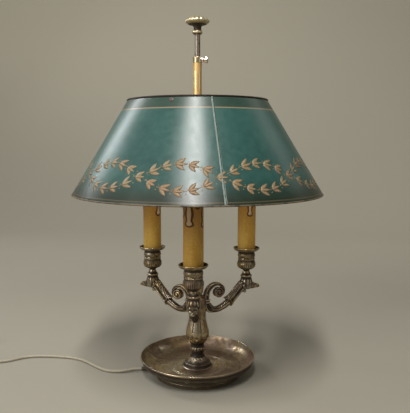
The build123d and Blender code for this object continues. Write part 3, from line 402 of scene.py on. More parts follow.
def turn_piece(node, runs, material, around=160, closed=True, relief=None, dirt_and_shade=0.0, ease=0.3, step=2.0):
    """A turned piece that stands for a node: its section, given in shares of the node's radius and
    height, goes round the node's axis.  relief takes the section's radius and height, both in
    shares, and the angle, and gives how far the face stands out, in millimetres.  soil takes the
    same, or is one number, and gives how much darker the face is than its hollows make it, from
    dirt and painted shade."""
    low, high = box_mm(node)
    middle, size = (low + high) / 2, high - low
    radius = max(size[0], size[1]) / 2
    scaled = [type(run)((r * radius, low[2] + z * size[2]) for r, z in run) for run in runs]
    outline, angle = section(scaled, closed, ease, step), ring_angles(around)
    legs = slopes(outline, 0, closed)
    outwards = unit(np.stack([legs[:, 1], -legs[:, 0]], axis=1))
    if (outline[:, 0] * legs[:, 1]).sum() < 0:
        outwards = -outwards
    r, z = outline[:, :1], outline[:, 1:]
    share = r / radius, (z - low[2]) / size[2], angle
    if relief is not None:
        lift = relief(*share)
        r, z = r + outwards[:, :1] * lift, z + outwards[:, 1:] * lift
    points = spread(middle[0] + r * np.cos(angle), middle[1] + r * np.sin(angle), z) * MM
    # The dirt and painted shade that darken the face beyond its hollows
    dirt = dirt_and_shade(*share) if callable(dirt_and_shade) else dirt_and_shade
    piece = skin(f"{node}_turned", points, material, closed, True, dirt)
    stands_for(piece, node)
    return piece


def silvering(wire, spun=False):
    """Silver plate over bronze: yellow where it is worn through, brown and purple with tarnish, near
    black in the hollows and where painted shade is added to them, and rubbed bright on the ridges.
    A spun piece has fine rings as well."""
    hollow = wire.mark("hollow")
    cloud, grain, speck = wire.noise(38.0, 4.0), wire.noise(160.0, 5.0), wire.noise(900.0, 2.0)
    worn = (cloud + 0.35 * grain).rise(0.55, 0.78)
    film = (wire.noise(22.0, 3.0) + 0.25 * grain).rise(0.52, 0.75)
    grime_and_shade = (hollow + 0.6 * grain).rise(0.25, 0.80)
    rubbed = (0.35 * grain - hollow).rise(0.62, 0.98)
    plate = worn.blend((0.450, 0.377, 0.270), (0.430, 0.315, 0.150))
    tarnished = (0.85 * film).blend(plate, (0.200, 0.132, 0.100))
    dirty = (0.96 * grime_and_shade).blend(tarnished, (0.016, 0.010, 0.006))
    bright = (0.8 * rubbed).blend(dirty, (0.86, 0.78, 0.64))
    roughness = 0.20 + 0.12 * film + 0.30 * grime_and_shade + 0.10 * grain
    height = 0.6 * grain + 0.25 * speck + 0.8 * cloud
    if spun:
        out = wire.node("VectorMath", {"operation": "LENGTH"}, {0: wire.place()}, "Value")
        rings = wire.node("TexNoise", {"noise_dimensions": "1D"}, {"W": out, "Scale": 420.0, "Detail": 3.0})
        bright = (0.45 * rings.rise(0.5, 0.7)).blend(bright, (0.19, 0.145, 0.085))
        height = height + 0.6 * rings
    return {"Base Color": bright, "Roughness": roughness, "Metallic": 1 - 0.6 * grime_and_shade,
            "Normal": wire.bump(height, 0.10 * MM)}


silvered_bronze = finish("silvered_bronze", silvering)
spun_bronze = finish("spun_bronze", lambda wire: silvering(wire, spun=True))


def wave(angle, count):
    """A rounded ripple round the piece, from 0 to 1, with so many crests."""
    return 0.5 + 0.5 * np.cos(count * angle)


def bell(x, middle, width):
    """1 at the middle, falling off smoothly over the width either side."""
    return np.exp(-((x - middle) / width) ** 2)


def step_up(x, low, high):
    """0 below low, 1 above high, smooth between."""
    share = np.clip((x - low) / (high - low), 0, 1)
    return share * share * (3 - 2 * share)


def dish_dirt_and_shade(r, z, angle):
    """Darker on the wall outside, painted shade in a ring on the seat round the column's foot, a
    painted highlight on the seat's toe, the rim rubbed bright, and a little dirt all over.
    """
    between = np.interp(r, (0.70, 0.75, 0.85, 0.935, 0.985, 1.0), (0.30, 0.355, 0.47, 0.68, 0.92, 0.95))
    outside = (z < between) * step_up(r, 0.69, 0.71)
    # The seat's dark ring is painted shade at the foot's edge, and its bright toe a painted highlight
    seat = (0.8 * bell(r, 0.236, 0.012) - 0.12 * bell(r, 0.268, 0.010)) * (z > 0.38)
    rim = bell(r, 0.995, 0.012) * step_up(z, 0.94, 0.99)
    return 0.42 * outside + seat - 0.05 * rim + 0.08


BORE = 0.0624             # share of the dish's radius
dish = [
    [(BORE, 0.327), (BORE, 0.600)],
    [(0.2294, 0.600), (0.2377, 0.490), (0.2682, 0.400)],
    ((0.448, 0.400), (0.454, 0.384), (0.460, 0.400), (0.482, 0.400), (0.488, 0.384), (0.494, 0.400)),
    [(0.7506, 0.400), (0.8404, 0.508), (0.9252, 0.712), (0.9794, 0.969)],
    [(0.9856, 1.0), (0.9959, 1.0)],
    [(1.0, 0.969), (1.0, 0.920)],
    [(0.9928, 0.907), (0.9452, 0.621), (0.8553, 0.423), (0.7446, 0.309)],
    ((0.7446, 0.250), (0.7405, 0.240), (0.7405, 0.205), (0.7446, 0.195)),
    ((0.7446, 0), (0.7082, 0), (0.7082, 0.327)),
]
turn_piece("base_dish", dish, spun_bronze, around=256, dirt_and_shade=dish_dirt_and_shade, ease=0.35, step=2.2)


# ================================================================ the column
# Cast and turned pieces in silvered bronze, threaded on the tie tube: a flared foot with rounded
# lobes, a knop with a ring of beads, a baluster with water leaves, the drum that the arms are
# screwed to, and the cap that holds the rod.
def foot_gadroons(r, z, angle):
    """Rounded lobes at the top of the flare, that die out towards the edge."""
    return 0.5 * bell(z, 0.40, 0.13) * (np.abs(np.cos(7 * angle)) ** 0.7 - 0.6) * (r > 0.45)


def foot_dirt_and_shade(r, z, angle):
    """A black neck, a painted shadow line round the foot's lower edge, and a little dirt all over."""
    return 0.95 * step_up(z, 0.44, 0.58) + 0.8 * bell(z, 0.02, 0.03) + 0.33


foot = [
    [(0.278, 0), (1.0, 0)],
    [(1.0, 0.034), (0.861, 0.11), (0.730, 0.27), (0.608, 0.43), (0.4906, 0.62), (0.4906, 0.93)],
    ((0.4906, 1.0), (0.278, 1.0)),
]
turn_piece("column_foot", foot, silvered_bronze, around=224, relief=foot_gadroons, dirt_and_shade=foot_dirt_and_shade, step=0.6)


def knop_beads(r, z, angle):
    """A ring of fourteen beads round the swell."""
    return 1.5 * bell(z, 0.45, 0.26) * (np.abs(np.cos(7 * angle)) - 0.8)


def knop_dirt_and_shade(r, z, angle):
    """Painted shade above and below the beads, where the knop meets the baluster and the foot, and a
    little dirt all over.
    """
    return 0.9 * (1 - bell(z, 0.45, 0.3)) + 0.10


knop = [
    [(0.493, 0), (0.871, 0)],
    [(0.871, 0.08), (0.962, 0.26), (1.0, 0.48), (0.962, 0.68), (0.90, 0.86)],
    [(0.90, 1.0), (0.493, 1.0)],
]
turn_piece("column_knop", knop, silvered_bronze, around=224, relief=knop_beads, dirt_and_shade=knop_dirt_and_shade, step=0.5)

LEAVES = 8


def water_leaves(r, z, angle):
    """Eight long leaves that hang from the top.  Each ends below in an arch, with a raised edge
    and a rib down the middle, and a smaller leaf shows between two."""
    across = ((angle * LEAVES / TURN + 0.5) % 1 - 0.5) * 2
    between = ((angle * LEAVES / TURN) % 1 - 0.5) * 2
    arch = 0.29 + 0.20 * (1 - np.sqrt(np.clip(1 - across**2, 0, 1)))
    small = 0.44 + 0.50 * between**2
    leaf = step_up(z, arch, arch + 0.025)
    edge = bell(z, arch + 0.032, 0.020)
    rib = bell(across, 0, 0.22) * step_up(z, 0.36, 0.5)
    seam = bell(np.abs(across), 1.0, 0.14) * step_up(z, 0.48, 0.6)
    under = step_up(z, small, small + 0.03) * (1 - leaf)
    fade = 1 - step_up(z, 0.94, 1.0)
    return (0.65 * leaf + 0.45 * edge + 0.2 * rib - 0.5 * seam + 0.25 * under - 0.65) * fade


def baluster_dirt_and_shade(r, z, angle):
    """Painted shade under the swell and at the top, under the drum, and a little dirt all over."""
    return 0.9 * (1 - step_up(z, 0.05, 0.20)) + 0.25 * step_up(z, 0.88, 1.0) + 0.10


baluster = [
    [(0.310, 0), (0.566, 0)],
    [(0.566, 0.01), (0.657, 0.096), (0.796, 0.172), (0.918, 0.248), (1.0, 0.40), (0.9764, 0.55),
     (0.8795, 0.74), (0.7746, 0.93), (0.738, 1.0)],
    [(0.310, 1.0)],
]
turn_piece("baluster", baluster, silvered_bronze, around=256, relief=water_leaves, dirt_and_shade=baluster_dirt_and_shade,
           step=0.45, ease=0.2)

drum = [((0.42, 0), (1.0, 0), (1.0, 1.0), (0.42, 1.0))]
turn_piece("arm_hub", drum, silvered_bronze, dirt_and_shade=0.25)

hub_cap = [
    ((0.466, 0), (1.0, 0), (1.0, 0.06)),
    [(0.561, 0.2), (0.715, 0.34), (0.796, 0.5), (0.697, 0.72), (0.52, 1.0)],
    ((0.362, 1.0), (0.362, 0.5333), (0.317, 0.5333), (0.317, 0.4), (0.466, 0.4)),
]
turn_piece("hub_cap", hub_cap, silvered_bronze, step=0.8)


# ================================================================ the candle cups and pans
# Turned and silvered cups screwed down on the arms by the holders' nipples, each with a dished
# pan that would catch the wax.
ARMS = ("front", "right", "left")
cup = [
    [(0.2645, 0), (0.355, 0)],
    [(0.355, 0.04), (0.56, 0.09), (0.85, 0.165), (1.0, 0.31), (0.96, 0.44), (0.8623, 0.555)],
    [(0.875, 0.58), (0.905, 0.592), (0.915, 0.62), (0.905, 0.648), (0.875, 0.66)],
    [(0.8623, 0.70), (0.8768, 0.71), (0.9275, 0.84), (0.855, 0.95)],
    ((0.855, 1.0), (0.2645, 1.0)),
]
pan = [
    [(0.187, 0), (0.610, 0)],
    [(0.641, 0.016), (0.805, 0.22), (0.949, 0.56), (1.0, 0.90)],
    [(0.985, 1.0), (0.964, 1.0)],
    [(0.949, 0.92), (0.892, 0.68), (0.838, 0.44), (0.738, 0.328)],
    [(0.187, 0.328)],
]


def cup_cutting(r, z, angle):
    """Fine upright reeds round the lower swell and fine turned lines round the waist."""
    reeds = (wave(angle, 30) - 1) * bell(z, 0.30, 0.10)
    return 0.14 * reeds + 0.16 * np.cos(TURN * z / 0.052) * bell(z, 0.66, 0.11)


def cup_dirt_and_shade(r, z, angle):
    """Painted shade in the neck, at the waist and under the pan, and dirt all over."""
    dark = 1 - step_up(z, 0.10, 0.22) + 0.5 * bell(z, 0.545, 0.03) + step_up(z, 0.90, 0.97)
    return 0.8 * dark + 0.40


for arm in ARMS:
    turn_piece(f"candle_cup_{arm}", cup, silvered_bronze, around=180, relief=cup_cutting, dirt_and_shade=cup_dirt_and_shade,
               step=0.45)
    turn_piece(f"drip_pan_{arm}", pan, silvered_bronze, around=128, dirt_and_shade=0.40, step=0.8)


# ================================================================ the candle sleeves
# Card tubes dipped in ochre wax that slip over the lampholders.  Wax has run down them from an
# uneven lip, in thin streams that end in a drop.
def candle_wax(wire):
    """Ochre wax, a little blotchy, and browner towards the top, which is painted shade under the lamp
    shade.  Where it has run it is pale, with a dark edge."""
    cloud, grain = wire.noise(60.0, 4.0, (1, 1, 0.35)), wire.noise(420.0, 3.0)
    painted_top_shade = (wire.along("Z") + 0.02 * cloud).rise(0.200, 0.262)
    fresh = (0.6 * cloud + 0.4 * grain).rise(0.35, 0.65).blend((0.45, 0.243, 0.036), (0.585, 0.372, 0.078))
    run = wire.mark("run")
    body = (0.75 * painted_top_shade).blend(fresh, (0.28, 0.125, 0.030))
    edged = run.rise(0.06, 0.20).blend(body, (0.085, 0.028, 0.007))
    return {"Base Color": (0.85 * run.rise(0.52, 0.78)).blend(edged, (0.56, 0.40, 0.23)),
            "Roughness": 0.36 + 0.2 * grain, "Normal": wire.bump(cloud + 0.4 * grain, 0.2 * MM)}


wax = finish("candle_wax", candle_wax, {
    "Subsurface Weight": 0.15, "Subsurface Radius": (0.004, 0.002, 0.001), "Specular IOR Level": 0.3})

# Streams of wax on each sleeve: degrees to the right of the side that faces the camera, the height
# where the drop hangs as a share of the sleeve's, and the half width in degrees
WAX_RUNS = {
    "front": ((-24, 0.655, 18), (-66, 0.80, 6), (64, 0.64, 11), (150, 0.5, 9), (-150, 0.7, 11)),
    "right": ((21, 0.63, 13), (-60, 0.80, 9), (120, 0.55, 9), (-140, 0.66, 8)),
    "left": ((44, 0.62, 13), (-30, 0.82, 9), (160, 0.62, 9), (-110, 0.7, 8)),
}


def wax_runs(runs, facing):
    """The relief of some streams: each a ridge from the lip down to a drop, on a wavy lip."""
    def relief(r, z, angle):
        outside = step_up(r, 0.93, 0.97)
        lip = 0.955 + 0.022 * np.sin(3 * angle + 1.0) + 0.015 * np.sin(7 * angle)
        lift = 0.5 * step_up(z, lip - 0.02, lip + 0.012)
        for side, low, width in runs:
            off = (angle - facing - radians(side) + pi) % TURN - pi
            half = radians(width) * (1 + 0.15 * np.sin(30 * z + side))
            ridge = bell(off, 0, half) * step_up(z, low + 0.02, low + 0.07)
            drop = bell(off, 0, 1.1 * half) * bell(z, low + 0.05, 0.04)
            lift = np.maximum(lift, np.maximum(0.95 * ridge, 1.4 * drop))
        return outside * lift - 0.35
    return relief


def points_of(mesh, what="co"):
    """A row for each vertex of a mesh, with its place or its normal."""
    rows = np.zeros(3 * len(mesh.vertices))
    mesh.vertices.foreach_get(what, rows)
    return rows.reshape(-1, 3)


sleeve_section = [
    ((0.918, 0), (1.0, 0), (1.0, 0.955)),
    [(0.995, 0.99), (0.965, 1.0), (0.935, 0.995)],
    [(0.918, 0.98)],
]
for arm in ARMS:
    low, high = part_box(f"candle_sleeve_{arm}")
    middle = (low + high) / 2
    to_camera = CAMERA_AT - middle
    relief = wax_runs(WAX_RUNS[arm], atan2(to_camera.y, to_camera.x))
    sleeve = turn_piece(f"candle_sleeve_{arm}", sleeve_section, wax, around=200, relief=relief, step=0.9,
                        ease=0.25)
    proud = np.hypot(*(points_of(sleeve.data)[:, :2] - middle[:2]).T) - (high.x - low.x) / 2
    keep(sleeve.data, "run", np.clip((proud / MM + 0.3) / 0.95, 0, 1))


# ================================================================ the scroll arms
# Three silvered bronze castings, screwed to the drum of the column.  Each has a root with two
# collars that rises into a scroll, an S-shaped moulded limb, a leaf wrapped round the limb's upper
# half, and a bird-like leaf head that carries a bell for the candle cup.
ARM_ANGLES = {"front": -90.0, "right": 30.0, "left": 150.0}
# The scroll's eye on each arm, from the column's axis and up, and the collars' heights
EYE_AT = {"front": (33.8, 113.9), "right": (33.8, 115.5), "left": (33.8, 111.5)}
COLLARS = (101.6, 105.4)
# Middle of the limb from the column's axis, its height, half depth and half width, in millimetres
LIMB = (
    (16.5, 96.5, 6.6, 4.4), (19.6, 93.4, 5.9, 4.6), (24.2, 91.2, 4.9, 4.7), (30.3, 90.3, 4.0, 4.7),
    (39.6, 92.7, 4.2, 4.7), (48.9, 97.6, 4.5, 4.7), (59.8, 107.1, 4.9, 4.9), (70.5, 117.8, 5.3, 5.2),
    (77.3, 123.8, 5.4, 5.2))
# The same for the head
HEAD = (
    (71.0, 121.4, 5.6, 5.6), (77.0, 121.6, 6.6, 6.2), (83.5, 121.0, 6.6, 6.6), (90.0, 119.8, 5.2, 6.4),
    (96.0, 118.6, 3.7, 5.4), (100.6, 117.9, 2.6, 3.9), (103.6, 117.2, 1.7, 2.4))


def closed_ends(points):
    """The grid with a row at each end that is drawn in to its middle."""
    ends = [np.broadcast_to(points[end].mean(axis=0), points[end].shape) for end in (0, -1)]
    return np.concatenate([ends[:1], points, ends[1:]])


def oval(angle, half_width, half_depth, power, lift):
    """How far across and how far out a super-ellipse is at each angle round it, with its face
    standing out by lift.  A quarter turn is its top."""
    side, top = np.cos(angle), np.sin(angle)
    across = half_width * np.sign(side) * np.abs(side) ** power + lift * side
    return across, half_depth * np.sign(top) * np.abs(top) ** power + lift * top


def on_arm(middle, heading, across, out):
    """Points of an arm, closed at both ends: from a middle line in the arm's plane sideways by
    across, and along the line's left-hand normal by out."""
    x, z = middle[..., 0] - out * heading[..., 1], middle[..., 1] + out * heading[..., 0]
    return closed_ends(spread(x, across, z))


def carried(stations, count, around, relief, power=0.72):
    """A rounded section carried along the spline of the stations: a super-ellipse with the stations'
    half width and half depth.  relief takes the distance along and the angle round, and gives how
    far the face stands out."""
    line, angle = spline(stations, count), ring_angles(around)
    lift = relief(lengths(line[:, :2])[:, None], angle)
    heading = unit(slopes(line[:, :2], 0, False))
    return on_arm(line[:, None], heading[:, None], *oval(angle, line[:, 3:], line[:, 2:3], power, lift))


def away(angle, middle):
    """How far an angle is from a middle one, in degrees from 0 to 180."""
    return np.abs((np.degrees(angle) - middle + 180) % 360 - 180)


def stripes(angle, width, *middles):
    """1 along lines at these angles, in degrees, falling off over the width either side."""
    return sum(bell(away(angle, middle), 0, width) for middle in middles)


def limb_mouldings(along, angle):
    """A bead along each edge of both sides, with a groove inside it, that fade in at the root."""
    beads, grooves = stripes(angle, 9, 42, 138, 222, 318), stripes(angle, 9, 25, 155, 205, 335)
    return (0.45 * beads - 0.75 * grooves) * step_up(along, 3, 9)


def leaf_wrap(stations, start, end, rows=120, around=120):
    """The wrapped leaf: a sleeve on the limb's middle line whose lower end has a long tip above and
    a shorter one below that bend away from the limb.  Veins slant back from a groove on each side,
    with a ridge along each edge of it."""
    line, angle = spline(stations, 600), ring_angles(around)
    along = lengths(line[:, :2])
    top = np.sin(angle)
    upper, lower = np.clip(top, 0, 1) ** 3, np.clip(-top, 0, 1) ** 3
    first = start - 6.5 * upper - 3.5 * lower + 0.7 * np.abs(np.sin(5 * angle))
    at = first + (end - first) * np.linspace(0, 1, rows)[:, None] ** 1.3
    middle = sampled(at, along, line[:, :2])
    heading = sampled(at, along, unit(slopes(line[:, :2], 0, False)))
    bend = np.clip(1 - (at - first) / 11, 0, 1) ** 2
    depth = np.where(top > 0, 7.6, 6.1) + (4.4 * upper + 2.4 * lower) * bend
    off = np.minimum(away(angle, 0), away(angle, 180))
    veins = 0.5 * np.sin(TURN * (off / 21 - at / 15))
    groove, ridge = stripes(angle, 9, 0, 180), bell(off, 24, 9)
    lift = 0.6 * veins * (1 - groove) - 1.7 * groove * step_up(at, start, start + 4) + 0.5 * ridge
    return on_arm(middle, heading, *oval(angle, 6.0, depth, 0.8, lift))


def head_leaves(along, angle):
    """Three leaf lobes down each side of the head, cut by slanting grooves, and a ridge on top."""
    lobes = np.abs(np.sin(TURN * (along / 17 + away(angle, 90) / 330)))
    return 0.9 * lobes - 0.8 + 0.5 * bell(away(angle, 90), 0, 12)


def strap(eye, count=150, around=64):
    """The scroll: a strap whose outer edge is the logarithmic spiral of radius 9.2 exp(0.2944 t)
    about the eye, from t = 200 degrees down to -75, and whose depth is 0.35 of the radius.  Its
    sides carry a raised fillet along the outer edge."""
    t, angle = np.radians(np.linspace(200, -75, count))[:, None], ring_angles(around)
    outer = 9.2 * np.exp(0.2944 * t)
    depth = outer * 0.35
    lift = 0.35 * stripes(angle, 14, 40, 140) - 0.65 * stripes(angle, 12, 5, 175)
    across, out = oval(angle, 4.4, depth / 2, 0.6, lift)
    radius = outer - depth / 2 + out
    return closed_ends(spread(eye[0] + radius * np.cos(t), across, eye[1] + radius * np.sin(t)))


def boss(x, z, radius, half_length, face, around=72, rows=26):
    """A round boss that goes through the arm sideways.  face takes the distance from its middle as
    a share of the radius and the angle, and gives how far each end stands out."""
    r, angle = np.sin(np.linspace(0, pi / 2, rows))[:, None], ring_angles(around)
    front = half_length - 0.9 * step_up(r, 0.86, 1.0) + face(r, angle)
    across, reach = np.concatenate([front, -front[::-1]]), radius * np.concatenate([r, r[::-1]])
    return spread(x + reach * np.cos(angle), across, z + reach * np.sin(angle))


def spiral_face(r, angle):
    """A spiral groove that runs in to a button: it lies where log r / 0.21 less the angle is an odd
    number of half turns."""
    turn_at = (np.log(np.clip(r, 0.12, 1)) / 0.42 / TURN * 2 - angle / TURN) % 1
    groove = bell(turn_at, 0.5, 0.16) * step_up(r, 0.25, 0.4) * (1 - step_up(r, 0.88, 0.95))
    return 0.9 * bell(r, 0, 0.3) - 1.0 * groove


def rosette_face(r, angle):
    """Eight petals round a button."""
    return (0.35 * np.abs(np.cos(4 * angle)) * bell(r, 0.65, 0.2) - 0.5 * bell(r, 0.42, 0.08)
            + 0.6 * bell(r, 0, 0.28))


def ring_face(r, angle):
    """A round groove."""
    return -0.5 * bell(r, 0.55, 0.12) + 0 * angle


def slab(loop, half_width):
    """A closed outline in the arm's plane given a width, with its edges rounded to 1 mm."""
    line = np.array([*loop, loop[0]], float)
    along = lengths(line)
    edge = sampled(np.linspace(0, along[-1], 120, endpoint=False), along, line)
    middle = edge.mean(axis=0)
    size = np.linalg.norm(edge - middle, axis=1, keepdims=True)
    turn_in = np.linspace(0, pi / 2, 6)
    slide, dip = 1 - np.sin(turn_in), 1 - np.cos(turn_in)
    rings = middle + (edge - middle) * (1 - np.concatenate([slide, dip])[:, None, None] / size)
    across = np.concatenate([half_width - dip, slide - half_width])
    return closed_ends(spread(rings[..., 0], across[:, None], rings[..., 1]))


CANDLE_X = 81.2           # millimetres from the column's axis to a candle's
BELL = [(0, 116.6), (7.6, 117.4), (9.3, 122.7), (9.1, 129.2), (7.9, 133.6), (8.6, 134.9),
        (8.5, 136.4), (7.1, 137.4), (5.9, 139.6), (4.95, 142.4), (4.6, 143), (0, 143)]


def bell_turned(around=96, swell_at=128.5):
    """The bell that carries a candle cup: turned about the candle's axis, with twelve flutes, 0.35 mm
    deep, round its swell."""
    line, angle = section([BELL], closed=False, step=0.6), ring_angles(around)
    r, z = line[:, :1], line[:, 1:]
    r = r - 0.35 * wave(angle, 12) * bell(z, swell_at, 4.5)
    return spread(CANDLE_X + r * np.cos(angle), r * np.sin(angle), z)


def cavity(mesh, rounds, depth):
    """How hollow a mesh is at each vertex: how far it moves out along its normal, in shares of the
    depth, when the mesh is evened out by moving each vertex to the mean of its neighbours, again
    and again."""
    start, ends = points_of(mesh), np.zeros(2 * len(mesh.edges), int)
    mesh.edges.foreach_get("vertices", ends)
    ends = ends.reshape(-1, 2)
    here, there = np.concatenate([ends, ends[:, ::-1]]).T
    near, moved = np.bincount(here), start
    for _ in range(rounds):
        moved = np.stack([np.bincount(here, weights=column[there]) / near for column in moved.T], axis=1)
    return np.tanh(((moved - start) * points_of(mesh, "normal")).sum(axis=1) / depth)


def joined(name, grids, material, wrap_rows=False, **marks):
    """One mesh from several closed grids of points in millimetres, whose last column, or last row,
    runs on to the first, with an attribute for each of the marks, which give a grid of values for
    each grid of points."""
    counts = np.cumsum([0] + [grid.shape[0] * grid.shape[1] for grid in grids])
    faces = np.concatenate([grid_faces(*grid.shape[:2], wrap_rows, not wrap_rows) + first
                            for grid, first in zip(grids, counts)])
    piece = new_piece(name, np.concatenate([grid.reshape(-1, 3) for grid in grids]) * MM, faces, material)
    for mark, values in marks.items():
        keep(piece.data, mark, np.concatenate([np.ravel(value) for value in values]))
    weld(piece.data, face_out=True)
    return piece


CAST_QUAD = 0.42 * MM     # the side of a casting's quads
CAST_SOIL = 0.56          # the castings' grain holds more dirt than turned work does


def cast(name, parts):
    """Fuse closed parts into one skin of even quads, as a casting is, and keep its hollows as an
    attribute."""
    rough = joined(f"{name}_parts", parts, silvered_bronze)
    fuse = rough.modifiers.new("fuse", "REMESH")
    fuse.mode, fuse.voxel_size, fuse.adaptivity = "VOXEL", CAST_QUAD, 0.0
    even = rough.modifiers.new("even", "SMOOTH")
    even.factor, even.iterations = 0.5, 2
    mesh = bpy.data.meshes.new_from_object(rough.evaluated_get(bpy.context.evaluated_depsgraph_get()))
    bpy.data.objects.remove(rough)
    mesh.name = name
    mesh.shade_smooth()
    keep(mesh, "hollow", cavity(mesh, rounds=14, depth=0.22 * MM) + CAST_SOIL)
    return mesh


for arm, degrees_round in ARM_ANGLES.items():
    eye = EYE_AT[arm]
    root = [(10.6, 98.5), (11.2, 95.4), (15.4, 88.6), (17.5, 87.6), (22.0, 88.2), (23.5, 93), (21.5, 97.5),
            (18.4, 100.6), (17.0, eye[1] - 8), (17.4, eye[1] - 2), (14, eye[1] + 1), (10.6, eye[1] - 1)]
    parts = [
        slab(root, half_width=4.5),
        *(slab([(10.6, low), (18.2, low), (18.9, low + 1.3), (18.2, low + 2.6), (10.6, low + 2.6)],
               half_width=5.6) for low in COLLARS),
        carried(LIMB, count=220, around=96, relief=limb_mouldings),
        strap(eye),
        boss(*eye, 7.2, 5.0, spiral_face, around=120, rows=60),
        leaf_wrap(LIMB, start=40.0, end=70.0),
        carried(HEAD, count=140, around=96, relief=head_leaves, power=0.85),
        boss(71.8, 124.4, 2.9, 5.4, ring_face), boss(76.6, 113.2, 2.8, 5.0, ring_face),
        boss(76.2, 121.2, 3.9, 7.2, rosette_face),
        bell_turned(),
    ]
    casting = cast(f"arm_{arm}_cast", parts)
    casting.transform(Matrix.Rotation(radians(degrees_round), 4, "Z"))
    stands_for(put(casting.name, casting), f"arm_{arm}")


# ================================================================ plain metals and plastics
# Bought parts that keep the shape of their CAD nodes: zinc-plated washers, nut, tube and screws,
# brass shells and pins, and moulded holders, bush, switch and plug.
def dress(material, *nodes):
    """Give CAD nodes that stay a material."""
    for node in nodes:
        for place in frame["nodes"][node].material_slots:
            place.material = material


def worn(name, base, dirt, metallic, roughness, grain_scale=260.0):
    """A finish that goes from one colour to its dirtier one in clouds, and is rougher there."""
    def surface(wire):
        cloud = wire.noise(grain_scale, 4.0)
        dirty = cloud.rise(0.45, 0.75)
        return {"Base Color": dirty.blend(base, dirt), "Roughness": roughness + 0.15 * dirty,
                "Normal": wire.bump(cloud, 0.015 * MM)}
    return finish(name, surface, {"Metallic": metallic})


cord_pvc = worn("cord_pvc", (0.335, 0.303, 0.228), (0.265, 0.237, 0.170), 0.0, 0.45)
bush_pvc = worn("bush_pvc", (0.05, 0.04, 0.03), (0.09, 0.07, 0.05), 0.0, 0.5)
plug_plastic = worn("plug_plastic", (0.58, 0.50, 0.34), (0.48, 0.39, 0.25), 0.0, 0.38)
dress(cord_pvc, "inner_lead")
dress(bush_pvc, "cord_bush")
dress(plug_plastic, "plug_body")
dress(worn("pin_brass", (0.72, 0.55, 0.28), (0.50, 0.36, 0.17), 1.0, 0.22), "plug_pins")
dress(worn("switch_plastic", (0.62, 0.54, 0.38), (0.52, 0.43, 0.28), 0.0, 0.35),
      "switch_base", "switch_cover", "switch_rocker")
dress(worn("zinc_steel", (0.52, 0.53, 0.52), (0.36, 0.36, 0.34), 1.0, 0.38),
      "base_washer", "base_lock_nut", "tie_tube", "holder_nipples", "switch_screws")
dress(worn("holder_phenolic", (0.035, 0.022, 0.016), (0.055, 0.038, 0.028), 0.0, 0.32),
      *(f"lampholder_{arm}" for arm in ARMS))
dress(worn("shell_brass", (0.62, 0.44, 0.18), (0.34, 0.22, 0.09), 1.0, 0.28),
      *(f"socket_shell_{arm}" for arm in ARMS))
dress(worn("bulb_cap_metal", (0.55, 0.46, 0.28), (0.30, 0.24, 0.14), 1.0, 0.32),
      *(f"bulb_cap_{arm}" for arm in ARMS))


# ================================================================ the bulbs
# Clear candle bulbs of thin blown glass, each screwed in its holder by a metal cap.  A glass stem
# inside holds two wires with a coiled filament between them.
def clear_glass(wire):
    """Clear glass, faintly dusty."""
    return {"Roughness": 0.02 + 0.06 * wire.noise(90.0, 2.0)}


def pipe(points, radii, around):
    """A round bar along some points, in millimetres: a ring square to the line at each, with that
    radius, closed at both ends."""
    line = np.asarray(points, float)
    along = unit(slopes(line, 0, False))
    aside = unit(np.cross(along, np.where(np.abs(along[:, 2:]) < 0.9, (0, 0, 1), (1, 0, 0))))
    over, angle = np.cross(aside, along), ring_angles(around)[..., None]
    way = np.cos(angle) * aside[:, None] + np.sin(angle) * over[:, None]
    return closed_ends(line[:, None] + np.broadcast_to(radii, len(line))[:, None, None] * way)


def goes_with(piece, body):
    """The piece has no CAD node: it rides on the body."""
    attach(piece, body)


bulb_clear = finish("bulb_clear", clear_glass, {
    "Base Color": (0.95, 0.94, 0.90, 1.0), "IOR": 1.45, "Transmission Weight": 1.0})
filament_wire = worn("filament_wire", (0.40, 0.38, 0.36), (0.22, 0.20, 0.19), 1.0, 0.3)
bulb = [
    [(0, 1.0), (0.10, 0.985), (0.17, 0.96), (0.45, 0.87), (0.86, 0.65), (1.0, 0.44), (0.97, 0.34),
     (0.74, 0.16), (0.514, 0.02)],
    [(0.48, 0.0), (0.44, 0.01)],
    [(0.478, 0.03), (0.705, 0.165), (0.935, 0.345), (0.965, 0.44), (0.825, 0.645), (0.42, 0.86),
     (0.14, 0.945), (0, 0.975)],
]
# The filament: half its reach, the height of its middle and how far its ends hang below, its turns
# and their radius
REACH, FILAMENT_Z, SAG, COILS, COIL_R = 7.0, 46, 5.0, 22, 0.55
turns = np.linspace(0, 1, 160)
across = 2 * turns - 1
coil = spread(REACH * across, COIL_R * np.cos(TURN * COILS * turns),
              FILAMENT_Z - SAG * across**2 + COIL_R * np.sin(TURN * COILS * turns))
posts = [spline([(side * 1.2, 0, 2), (side * 1.3, 0, 20), (side * 4.0, 0, 32),
                 (side * REACH, 0, FILAMENT_Z - SAG)], 24) for side in (-1, 1)]
bars = [pipe(coil, 0.16, 6), *(pipe(post, 0.28, 8) for post in posts)]
stem = pipe([(0, 0, z) for z in (0.4, 4, 9, 14, 18, 20, 21)], (5.5, 4.2, 2.6, 2.2, 2.4, 2.0, 0.8), 32)
for arm in ARMS:
    turn_piece(f"bulb_glass_{arm}", bulb, bulb_clear, around=96, closed=False, step=1.4)
    low, high = box_mm(f"bulb_glass_{arm}")
    foot_at = (*(low + high)[:2] / 2, low[2])
    wires = joined(f"filament_{arm}", [bar + foot_at for bar in bars], filament_wire)
    goes_with(wires, f"bulb_{arm}")
    glass = joined(f"glass_stem_{arm}", [stem + foot_at], bulb_clear)
    goes_with(glass, f"bulb_{arm}")


